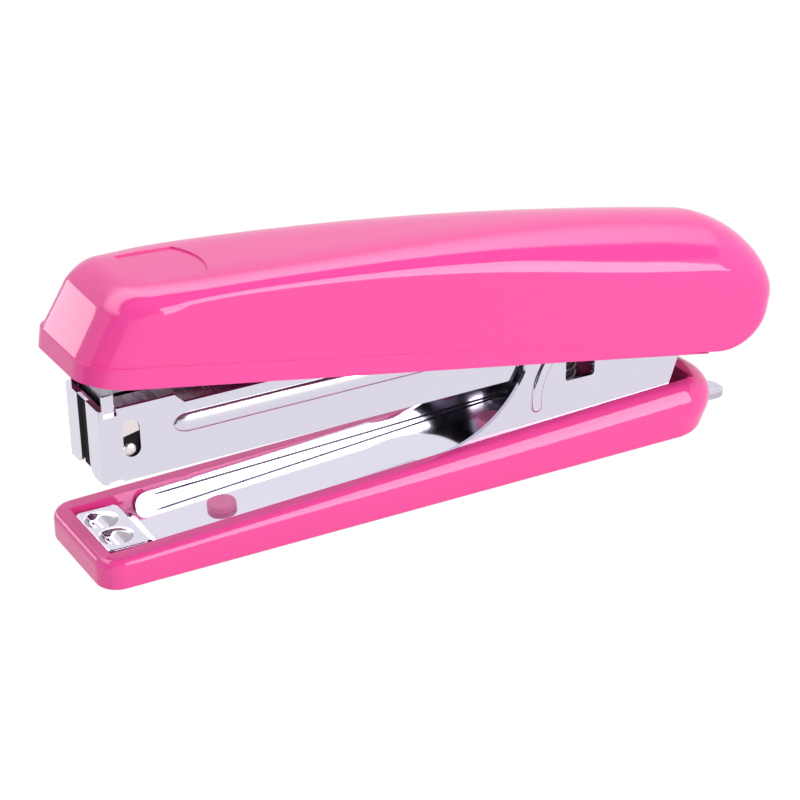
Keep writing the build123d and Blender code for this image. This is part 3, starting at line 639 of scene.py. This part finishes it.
def cover_loops(shape, inset, sunk=0.0, opens=False, lean=None):
    """Loops from one flat side over the top to the other, for growing the cover.

    A lean makes the sides draw in towards the open edge instead of towards the top.
    """
    outline = cover_outline(shape, inset, sunk, opens)
    lean_height = 2.6
    bulge_start = 2.0
    half = []
    for share in shares(22):
        loop = []
        for index, (outer, inner, rise, square, domed) in enumerate(outline):
            above = inner.y - shape.lower_edge
            side = shape.half_width - inset - above * math.tan(shape.draft)
            if lean:
                side = shape.half_width - max(lean_height - above, 0.0) * math.tan(lean)
            way = (outline[(index + 1) % len(outline)][0] - outline[index - 1][0]).normalized()
            out = Vector((-way.y, way.x))
            height = outer.y - shape.lower_edge - bulge_start
            bulge = out * (PANEL_BULGE * blend(0.0, 1.0, height / 2.0))
            dome, dome_across = dome_point(inner, outer + out * rise, side, square, share)
            panel, panel_across = panel_point(inner, outer, bulge, side, share)
            spot = panel.lerp(dome, domed)
            across = panel_across + (dome_across - panel_across) * domed
            loop.append((spot.x, across, spot.y))
        half.append(loop)
    near = [[on_handle(along, -across, up) for along, across, up in loop] for loop in half]
    far = [[on_handle(along, across, up) for along, across, up in loop] for loop in half[:-1]]
    return near + far[::-1]


def skirt_room(shape):
    """The room of the lower band, which steps down towards the heel."""
    low = shape.lower_edge
    ahead = -95.0
    outline = [
        (ahead, low - 1.0), (9.5, low - 1.0), (9.0, low + 0.05), (2.0, low + 0.95),
        (-13.4, low + 1.05), (-17.0, low + 2.55), (-78.0, low + 2.7),
        (shape.nose, low + BAND_HEIGHT), (ahead, low + BAND_HEIGHT)]
    return slab("skirt_room", on_handle, outline, (-15.0, 15.0))


def label_room(shape):
    """The room of a shallow panel with a bowed rear edge, sunk in the top near the nose."""
    half = 5.3
    front = shape.nose + 8.6
    rear = front + 7.6
    bow = 1.5
    depth = 0.22
    clear = 3.0
    plan = [(front, -half), (front, half), (rear, half)]
    for share in shares(8, 1)[:-1]:
        across = half - 2.0 * half * share
        plan.append((rear + bow * (1.0 - (across / half) ** 2), across))
    plan.append((rear, -half))

    def place(along, across, lift):
        crown = 0.1 - 0.07 * (across / half) ** 4
        return on_handle(along, across, arch_height(shape, along) + crown + lift)

    return grow("label_room", [[place(*spot, lift) for spot in plan] for lift in (-depth, clear)])


class STAPLER_OT_cover(bpy.types.Operator):
    """Models the moulded handle cover"""

    bl_idname = "stapler.cover"
    bl_label = "Model the handle cover"

    def execute(self, context):
        shape = context.scene.stapler_cover
        cover = grow("cover_shell", cover_loops(shape, shape.skirt))
        skirt = grow("skirt_band", cover_loops(shape, 0.0, lean=shape.skirt_lean))
        combine(skirt, skirt_room(shape), "INTERSECT")
        combine(cover, skirt, "UNION")
        hollow = grow("cover_hollow", cover_loops(shape, shape.wall, shape.wall, opens=True))
        combine(cover, hollow, "DIFFERENCE")
        combine(cover, label_room(shape), "DIFFERENCE")
        smooth(cover, 17.0)
        give_finish(cover, "pink_plastic")
        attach(cover, "handle")
        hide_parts("handle_cover")
        return {"FINISHED"}


def tray_plan(shape):
    """Points round the tray's plan, with their outward ways and the pocket's matching points."""
    half = shape.half_width
    opening = shape.opening_half
    front = shape.front_corner
    rear = shape.rear_corner
    pocket_front = 2.08
    pocket_rear = 91.95
    stations = [6.0, 9.3, 12.0, *range(16, 84, 6), 86.0, 88.3]
    points = []

    def corner(x, y, radius, start, steps, inner):
        for share in shares(steps):
            turn = math.radians(start + 90.0 * share)
            way = Vector((math.cos(turn), math.sin(turn)))
            points.append((Vector((x, y)) + way * radius, way, Vector(inner)))

    def side(places, sign):
        way = Vector((0.0, sign))
        for station in places:
            spot = Vector((station, sign * half))
            points.append((spot, way, Vector((station, sign * opening))))

    corner(shape.length - rear, half - rear, rear, 0.0, 12, (pocket_rear, opening))
    side(stations[::-1], 1.0)
    corner(front, half - front, front, 90.0, 8, (pocket_front, opening))
    corner(front, front - half, front, 180.0, 8, (pocket_front, -opening))
    side(stations, -1.0)
    corner(shape.length - rear, rear - half, rear, 270.0, 12, (pocket_rear, -opening))
    return points


def tray_loops(shape):
    """Loops from the sole up the sides, over the rounded shoulder and down into the pocket."""
    plan = tray_plan(shape)
    slope = (shape.rear_height - shape.front_height) / shape.length
    full_section = 84.0
    sole_round = 0.5
    lip = 0.04
    quarter = [math.radians(turn) for turn in (0.0, 30.0, 60.0, 90.0)]
    loops = []

    def rim(station):
        return shape.front_height + slope * station

    def pocket_floor(station):
        return 0.78 + 0.0577 * station

    def swell(way, up):
        """How far the rear end swells past its plan at a height, drawn in at the sole."""
        rise = min(up / shape.swell_height, 1.0)
        out = shape.swell * math.sin(math.pi / 2.0 * rise) - shape.sole_set * (1.0 - rise)
        return way * out * max(way.x, 0.0)

    def shoulder(spot, way, bend):
        """A point of the rounded shoulder, which grows wider and taller towards the rear."""
        share = spot.x / full_section
        turn = math.radians(blend(90.0, 84.0, share) * bend)
        tall = blend(1.3, 5.4, share)
        wide = blend(0.9, 2.45, share) + 1.7 * max(way.x, 0.0)
        up = rim(spot.x) - tall * (1.0 - math.sin(turn))
        return on_base(*(spot + swell(way, up) - way * wide * (1.0 - math.cos(turn))), up)

    def pocket_edge(spot, inner, turn):
        """A point of the small lip between the rim and the pocket's wall."""
        back = lip * (1.0 - math.sin(turn))
        outward = spot - inner
        edge = inner + Vector([math.copysign(min(back, abs(run)), run) for run in outward])
        crown = blend(0.0, 0.076, spot.x / full_section)
        return on_base(*edge, rim(edge.x) + crown - lip * (1.0 - math.cos(turn)))

    for turn in quarter:
        inset = sole_round * (1.0 - math.sin(turn))
        up = sole_round * (1.0 - math.cos(turn))
        loops.append([
            on_base(*(spot + swell(way, up) - way * inset), up) for spot, way, inner in plan])
    for bend in shares(12):
        loops.append([shoulder(spot, way, bend) for spot, way, inner in plan])
    for turn in quarter:
        loops.append([pocket_edge(spot, inner, turn) for spot, way, inner in plan])
    loops.append([on_base(*inner, pocket_floor(inner.x)) for spot, way, inner in plan])
    return loops


class STAPLER_OT_tray(bpy.types.Operator):
    """Models the moulded base tray"""

    bl_idname = "stapler.tray"
    bl_label = "Model the base tray"

    def execute(self, context):
        shape = context.scene.stapler_tray
        tray = grow("tray_moulding", tray_loops(shape))
        weld(tray)
        slot = add_block("tongue_slot", on_base(83.4, -2.45, 0.57), on_base(99.0, 2.45, 1.53))
        combine(tray, slot, "DIFFERENCE")
        seat = add_block("anvil_seat", on_base(2.0, -6.95, 0.7), on_base(7.9, 6.95, 3.03))
        tray = join([tray, seat])
        smooth(tray, 24.0)
        give_finish(tray, "pink_plastic")
        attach(tray, "base")
        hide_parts("base_tray")
        return {"FINISHED"}


class STAPLER_OT_studs(bpy.types.Operator):
    """Models the two staked stud heads that hold the base channel"""

    bl_idname = "stapler.studs"
    bl_label = "Model the stud heads"

    def execute(self, context):
        lean = math.radians(FLOOR_RISE)
        raised = STUD_HEIGHT / 2.0
        heads = []
        for station in STUD_STATIONS:
            middle = on_base(
                station - raised * math.sin(lean), 0.0, channel_floor(station) + raised)
            bpy.ops.mesh.primitive_cylinder_add(
                vertices=72, radius=STUD_RADIUS * MM, depth=STUD_HEIGHT * MM,
                location=middle, rotation=(0.0, -lean, 0.0))
            head = start_piece("stud_head")
            choose(head, "edges", lambda edge: all(
                head.data.vertices[index].co.z > 0.0 for index in edge.vertices))
            bpy.ops.mesh.bevel(offset=STUD_ROUND * MM, segments=5, affect="EDGES")
            finish_editing()
            bpy.ops.object.transform_apply(location=True, rotation=True, scale=True)
            heads.append(head)
        studs = join(heads)
        smooth(studs, 40.0)
        # The brighter stud finish is partly painted light, since the heads lie in the magazine's
        # shadow
        give_finish(studs, "frosted_plastic")
        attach(studs, "base")
        return {"FINISHED"}


def anvil_groove(shape, station, across):
    """Depth of the two clinching grooves, each 1 mm in half width, at a place."""
    middle_station = 4.15
    middle_across = 2.55
    half_length = 1.2
    beside = max(abs(abs(across) - middle_across) - half_length, 0.0)
    reach = math.hypot(station - middle_station, beside)
    return shape.groove * max(1.0 - reach * reach, 0.0)


def anvil_dish(shape, station, across):
    """Depth of the double dish round the grooves at a place."""
    middle_station = 4.7
    middle_across = 2.45
    stretch = 1.05
    radius = 2.35
    border = 0.8
    reach = math.hypot((station - middle_station) / stretch, abs(across) - middle_across)
    return shape.dish * blend(0.0, 1.0, (radius - reach) / border)


def anvil_edge(shape, station, across):
    """Drop of the rounded edge of the deck at a place, with none where the lip joins it."""
    round_off = 0.25
    lip_join = 0.6
    half_length = (shape.rear - shape.front) / 2.0
    along = abs(station - shape.front - half_length) - half_length + shape.corner
    aside = abs(across) - shape.half_width + shape.corner
    beyond = math.hypot(max(along, 0.0), max(aside, 0.0)) + min(max(along, aside), 0.0)
    inside = max(shape.corner - beyond, 0.0)
    if inside >= round_off or station > shape.rear - lip_join:
        return 0.0
    return round_off - math.sqrt(round_off ** 2 - (round_off - inside) ** 2)


def anvil_rim(shape):
    """Points round the deck's plan with rounded corners."""
    points = []
    ahead = shape.front + shape.corner
    behind = shape.rear - shape.corner
    aside = shape.half_width - shape.corner
    centres = ((behind, aside), (ahead, aside), (ahead, -aside), (behind, -aside))
    for corner, (x, y) in enumerate(centres):
        for count in range(7):
            turn = math.radians(90.0 * corner + 15.0 * count)
            points.append((
                x + shape.corner * math.cos(turn), y + shape.corner * math.sin(turn)))
    return points


def anvil_neck(shape):
    """The bent lip that joins the deck to the channel's floor."""
    start = 7.6
    length = 2.6
    sheet = 0.3
    half_width = 5.1
    high = shape.top - 0.02
    low = channel_floor(start + length) + 0.16
    upper = []
    for share in shares(12):
        station = start + length * share
        upper.append((station, blend(high, low, (station - 7.7) / 2.2)))
    outline = upper + [(station, up - sheet) for station, up in reversed(upper)]
    return slab("anvil_neck", on_base, outline, (-half_width, half_width))


class STAPLER_OT_anvil(bpy.types.Operator):
    """Models the anvil plate with its clinching grooves"""

    bl_idname = "stapler.anvil"
    bl_label = "Model the anvil"

    def execute(self, context):
        shape = context.scene.stapler_anvil
        margin = 0.1
        length = shape.rear - shape.front + 2.0 * margin
        width = 2.0 * (shape.half_width + margin)
        drops = (anvil_groove, anvil_dish, anvil_edge)
        bpy.ops.mesh.primitive_grid_add(x_subdivisions=72, y_subdivisions=140, size=1.0)
        deck = start_piece("anvil_deck")
        for vertex in deck.data.vertices:
            station = shape.front - margin + length * (vertex.co.x + 0.5)
            across = width * vertex.co.y
            down = sum(drop(shape, station, across) for drop in drops)
            vertex.co = on_base(station, across, shape.top - down)
        choose(deck, "polygons", lambda face: True)
        bpy.ops.mesh.extrude_region_move(
            TRANSFORM_OT_translate={"value": (0.0, 0.0, -shape.sheet * MM)})
        finish_editing()
        room = grow("anvil_room", [
            [on_base(x, y, up) for x, y in anvil_rim(shape)] for up in (1.0, 6.0)])
        combine(deck, room, "INTERSECT")
        give_finish(deck, "chrome_sheet", "anvil_dish")
        # Faces in the dish, away from the grooves, take the darker chrome as painted shade
        for face in deck.data.polygons:
            station = face.center.x / MM - BASE_FRONT
            across = face.center.y / MM
            in_dish_shade = anvil_dish(shape, station, across) > 0.3 * shape.dish
            grooved = anvil_groove(shape, station, across) > 0.02
            face.material_index = int(in_dish_shade and not grooved and face.normal.z > 0.5)
        neck = anvil_neck(shape)
        give_finish(neck, "chrome_sheet")
        anvil = join([deck, neck])
        smooth(anvil, 35.0)
        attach(anvil, "base")
        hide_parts("anvil_plate")
        return {"FINISHED"}


def ridge(name, path, out, half_width, height, tip, square):
    """A pressed bead along a path of places, rounded across and at both ends."""
    root = out * (0.2 * MM)
    least = 0.12
    loops = []
    total = sum((after - before).length for before, after in zip(path, path[1:]))
    gone = 0.0
    for index, place in enumerate(path):
        if index:
            gone += (place - path[index - 1]).length
        way = (path[min(index + 1, len(path) - 1)] - path[max(index - 1, 0)]).normalized()
        aside = out.cross(way)
        near_end = min(gone, total - gone) / (tip * MM)
        share = math.sqrt(max(1.0 - (1.0 - min(near_end, 1.0)) ** 2, 0.0))
        share = max(share, least)
        half = aside * (half_width * share * MM)
        loop = []
        for arc in shares(24):
            turn = math.pi * arc
            run = math.copysign(abs(math.cos(turn)) ** (2.0 / square), math.cos(turn))
            lift = abs(math.sin(turn)) ** (2.0 / square)
            loop.append(
                place + aside * (run * half_width * share * MM)
                + out * (lift * height * share * MM))
        loop.append(place - half - root)
        loop.append(place + half - root)
        loops.append(loop)
    return grow(name, loops)


def along_ends(start, end, tip, steps, spans=1):
    """Stations from start to end that crowd towards the rounded ends."""
    quarter = [math.radians(90.0 * share) for share in shares(steps)[:-1]]
    crowd = [tip * (1.0 - math.cos(turn)) for turn in quarter]
    span = (end - start - 2.0 * tip) / spans
    between = [start + tip + span * count for count in range(spans + 1)]
    return [start + lead for lead in crowd] + between + [end - lead for lead in reversed(crowd)]


def wall_bead(side, out):
    """The long bead of a magazine wall."""
    stations = along_ends(start=-73.1, end=-26.6, tip=2.2, steps=8)
    places = [on_magazine(along, 5.65 * side, 1.3) for along in stations]
    return ridge("wall_bead", places, out, half_width=1.32, height=0.6, tip=2.2, square=2.0)


def ear_bead(side, out):
    """The upright, bowed bead of an ear."""
    places = []
    for height in along_ends(start=8.5, end=16.7, tip=0.75, steps=5, spans=8):
        share = (height - 9.2) / 6.8
        bow = 0.7 * (1.0 - (2.0 * share - 1.0) ** 2)
        places.append(on_base(65.0 + 1.9 * share - bow, 6.85 * side, height))
    return ridge("ear_bead", places, out, half_width=0.8, height=0.55, tip=0.8, square=2.3)


def wall_crease(side, out):
    """The fine ridge low along the inside of a channel wall, tinted near black as painted shade of
    the wall's bend.
    """
    start = 13.5
    places = []
    for station in along_ends(start, end=72.0, tip=2.0, steps=4):
        up = channel_floor(station) + 1.2 - 0.0188 * (station - start)
        places.append(on_base(station, 6.25 * side, up))
    return ridge("wall_crease", places, -out, half_width=0.18, height=0.05, tip=2.0, square=2.0)


class STAPLER_OT_beads(bpy.types.Operator):
    """Models the pressed beads of the magazine walls and ears, and the dark lines of painted shade
    along the channel's creases
    """

    bl_idname = "stapler.beads"
    bl_label = "Model the pressed beads"

    def execute(self, context):
        kinds = (
            (wall_bead, "magazine", "pressed_bead"),
            (ear_bead, "base", "chrome_sheet"),
            # The channel's creases get the near-black finish as painted shade
            (wall_crease, "base", "wall_crease"))
        for make, body, finish in kinds:
            beads = join([make(side, Vector((0.0, side, 0.0))) for side in (-1.0, 1.0)])
            smooth(beads, 50.0)
            give_finish(beads, finish)
            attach(beads, body)
        return {"FINISHED"}


def spring_copy(node, name):
    """A copy of a spring that replaces it and can change its shape."""
    bpy.ops.object.select_all(action="DESELECT")
    spring = bpy.data.objects.new(name, frame["nodes"][node].data.copy())
    bpy.context.collection.objects.link(spring)
    spring.select_set(True)
    weld(spring)
    smooth(spring, 40.0)
    give_finish(spring, "spring_steel")
    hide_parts(node)
    return spring


class STAPLER_OT_springs(bpy.types.Operator):
    """Puts smooth copies of the springs in their places, the coils on their bodies and the leaf
    fixed where it lies
    """

    bl_idname = "stapler.springs"
    bl_label = "Fit the springs"

    def execute(self, context):
        lift = spring_copy("lift_spring", "lift_coil")
        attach(lift, "base")
        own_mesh(lift)
        push = spring_copy("follower_spring", "follower_coil")
        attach(push, "magazine")
        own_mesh(push)
        leaf = spring_copy("return_leaf", "leaf_spring")
        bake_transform(leaf)
        return {"FINISHED"}


def window_outline(low_cut):
    """Points round a magazine wall's upright window, cut off below a sloping line."""
    radius = WINDOW_WIDTH / 2.0
    straight = (WINDOW_LENGTH - WINDOW_WIDTH) / 2.0
    cut_slope = 0.22
    points = []
    for share in shares(32)[:-1]:
        turn = math.radians(360.0 * share + 90.0)
        along = radius * math.cos(turn)
        up = radius * math.sin(turn)
        up += math.copysign(straight, math.sin(turn))
        up = max(up, low_cut + cut_slope * along)
        points.append((WINDOW_ALONG + along, WINDOW_UP + up))
    return points


class STAPLER_OT_nose(bpy.types.Operator):
    """Models the nickel fittings behind the magazine's windows, and near-black sheets of painted
    shade in the windows and the throat at its nose
    """

    bl_idname = "stapler.nose"
    bl_label = "Model the nose fittings"

    def execute(self, context):
        dark = []
        bright = []
        uncut = -9.0
        for side in (-1.0, 1.0):
            for name, low_cut, inner, outer, pieces in (
                    ("window_back", uncut, 5.17, 5.24, dark),
                    ("window_plate", 0.55, 5.2, 5.46, bright)):
                sides = (side * inner, side * outer)
                pieces.append(slab(name, on_magazine, window_outline(low_cut), sides))
            bpy.ops.mesh.primitive_uv_sphere_add(
                segments=40, ring_count=24, radius=MM,
                location=on_magazine(-78.95, side * 5.2, -0.62))
            nub = start_piece("window_nub")
            nub.scale = (0.93, 0.4, 0.86)
            bpy.ops.object.transform_apply(location=True, rotation=True, scale=True)
            bright.append(nub)
        half = 1.36
        throat = [(-half, -4.3), (half, -4.3), (half, 4.5), (-half, 4.5)]
        dark.append(grow("nose_throat", [
            [on_magazine(along, across, up) for across, up in throat]
            for along in (-82.3, -82.22)]))
        # The near-black sheets take the painted shade finish, the window plates and nubs the nickel
        # one
        for pieces, finish, slot in (
                (dark, "dark_gap", "follower_plastic"), (bright, "nickel_fitting", "satin_steel")):
            fittings = join(pieces)
            smooth(fittings, 40.0)
            give_finish(fittings, finish)
            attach(fittings, "magazine")
        return {"FINISHED"}


def aim(piece, target):
    """Turns a lamp or camera to a point."""
    way = Vector(target) - piece.location
    piece.rotation_euler = way.to_track_quat("-Z", "Y").to_euler()


def softbox(name, place, width, height, power, mirrored):
    """A rectangular lamp that the camera doesn't see, nor mirrors where it only fills."""
    bpy.ops.object.light_add(type="AREA", location=place)
    lamp = bpy.context.object
    lamp.name = name
    lamp.data.shape = "RECTANGLE"
    lamp.data.size = width
    lamp.data.size_y = height
    lamp.data.energy = power
    lamp.visible_camera = False
    lamp.visible_glossy = mirrored
    aim(lamp, LAMP_TARGET)


def darken(tree, source, way, span, strengths):
    """A strength that goes softly from one value to another as a direction nears a way."""
    facing = add_node(tree, "VectorMath", {1: way}, operation="DOT_PRODUCT")
    tree.links.new(source, facing.inputs[0])
    return map_range(tree, facing.outputs["Value"], span, strengths, "SMOOTHSTEP")


def lay_over(tree, surface, ray, glow, share=1.0):
    """Lays a glow over a surface for one kind of ray, in full or in part."""
    light_path = add_node(tree, "LightPath")
    amount = add_node(tree, "Math", {1: share}, operation="MULTIPLY")
    mix = add_node(tree, "MixShader")
    tree.links.new(light_path.outputs[ray], amount.inputs[0])
    tree.links.new(amount.outputs["Value"], mix.inputs["Fac"])
    tree.links.new(surface, mix.inputs[1])
    tree.links.new(glow.outputs[0], mix.inputs[2])
    return mix.outputs["Shader"]


def floor_white(colours):
    """Pale floor: nearly white to the camera, and dark before the nose to mirrors."""
    tree, shader = new_material("studio_floor", {"Base Color": colours.floor, "Roughness": 0.9})
    white = (1.0, 0.99, 1.0, 1.0)
    place = add_node(tree, "TexCoord")
    spot = add_node(tree, "VectorMath", {1: (-0.09, -0.005, 0.0)}, operation="SUBTRACT")
    way = add_node(tree, "VectorMath", operation="NORMALIZE")
    tree.links.new(place.outputs["Object"], spot.inputs[0])
    tree.links.new(spot.outputs["Vector"], way.inputs[0])
    dark = darken(tree, way.outputs["Vector"], (-0.85, -0.53, 0.0), (0.55, 0.9), (0.92, 0.08))
    mirrored = add_node(tree, "Emission", {"Color": white})
    tree.links.new(dark, mirrored.inputs["Strength"])
    seen = add_node(tree, "Emission", {"Color": white, "Strength": 1.06})
    surface = lay_over(tree, shader.outputs["BSDF"], "Is Glossy Ray", mirrored, 0.97)
    surface = lay_over(tree, surface, "Is Camera Ray", seen, 0.93)
    tree.links.new(surface, tree.nodes["Material Output"].inputs["Surface"])


def studio_world(stage):
    """Even light from all round: white to the camera, bright above and dark in parts to mirrors."""
    world = bpy.data.worlds.new("studio")
    world.use_nodes = True
    tree = world.node_tree
    white = (0.98, 0.97, 1.0, 1.0)
    way = add_node(tree, "TexCoord").outputs["Generated"]
    height = add_node(tree, "SeparateXYZ")
    tree.links.new(way, height.inputs["Vector"])
    strengths = (stage.mirror_sky, stage.mirror_top)
    strength = map_range(tree, height.outputs["Z"], (0.52, 0.78), strengths)
    for patch, span in ((stage.dark_side, (0.65, 0.7)), (stage.dark_corner, (0.88, 0.95))):
        dark = darken(tree, way, patch, span, (1.0, stage.mirror_dark))
        shaded = add_node(tree, "Math", operation="MULTIPLY")
        tree.links.new(strength, shaded.inputs[0])
        tree.links.new(dark, shaded.inputs[1])
        strength = shaded.outputs["Value"]
    mirrored = add_node(tree, "Background", {"Color": white})
    tree.links.new(strength, mirrored.inputs["Strength"])
    seen = add_node(tree, "Background", {"Color": white, "Strength": 1.05})
    light = tree.nodes["Background"]
    set_values(light, {"Color": (1.0, 0.99, 1.0, 1.0), "Strength": stage.sky})
    surface = lay_over(tree, light.outputs["Background"], "Is Glossy Ray", mirrored)
    surface = lay_over(tree, surface, "Is Camera Ray", seen)
    tree.links.new(surface, tree.nodes["World Output"].inputs["Surface"])
    return world


class STAPLER_OT_stage(bpy.types.Operator):
    """Sets the floor, the studio light and the camera"""

    bl_idname = "stapler.stage"
    bl_label = "Set the stage"

    def execute(self, context):
        scene = context.scene
        stage = scene.stapler_stage
        bpy.ops.mesh.primitive_plane_add(size=6.0)
        floor = context.object
        floor.name = "studio_floor"
        floor_white(scene.stapler_colours)
        give_finish(floor, "studio_floor")
        scene.world = studio_world(stage)
        for lamp in LAMPS:
            softbox(*lamp)
        bpy.ops.object.camera_add(location=stage.camera_place)
        camera = context.object
        camera.name = "photo_camera"
        camera.data.sensor_width = 36.0
        camera.data.lens = stage.lens
        camera.data.clip_start = 0.01
        aim(camera, stage.camera_target)
        scene.camera = camera
        scene.view_settings.view_transform = "Standard"
        return {"FINISHED"}


OPERATORS = (
    STAPLER_OT_metalwork, STAPLER_OT_cover, STAPLER_OT_tray, STAPLER_OT_studs, STAPLER_OT_anvil,
    STAPLER_OT_beads, STAPLER_OT_springs, STAPLER_OT_nose, STAPLER_OT_stage)


class STAPLER_PT_pieces(bpy.types.Panel):
    """Lists the pieces of the stapler"""

    bl_idname = "STAPLER_PT_pieces"
    bl_label = "Stapler"
    bl_space_type = "VIEW_3D"
    bl_region_type = "UI"
    bl_category = "Stapler"

    def draw(self, context):
        for operator in OPERATORS:
            self.layout.operator(operator.bl_idname)


GROUPS = {
    "stapler_colours": StaplerColours, "stapler_cover": StaplerCover, "stapler_tray": StaplerTray,
    "stapler_anvil": StaplerAnvil, "stapler_stage": StaplerStage}
CLASSES = (*GROUPS.values(), *OPERATORS, STAPLER_PT_pieces)


def register():
    """Adds the classes and the scene's settings to Blender."""
    for each in CLASSES:
        bpy.utils.register_class(each)
    for name, group in GROUPS.items():
        setattr(bpy.types.Scene, name, bpy.props.PointerProperty(type=group))


def unregister():
    """Takes the scene's settings and the classes out again."""
    for name in GROUPS:
        delattr(bpy.types.Scene, name)
    for each in reversed(CLASSES):
        bpy.utils.unregister_class(each)


def main():
    """Builds the stapler and its stage."""
    register()
    bpy.ops.stapler.metalwork()
    bpy.ops.stapler.cover()
    bpy.ops.stapler.tray()
    bpy.ops.stapler.studs()
    bpy.ops.stapler.anvil()
    bpy.ops.stapler.beads()
    bpy.ops.stapler.springs()
    bpy.ops.stapler.nose()
    bpy.ops.stapler.stage()


if __name__ == "__main__":
    main()
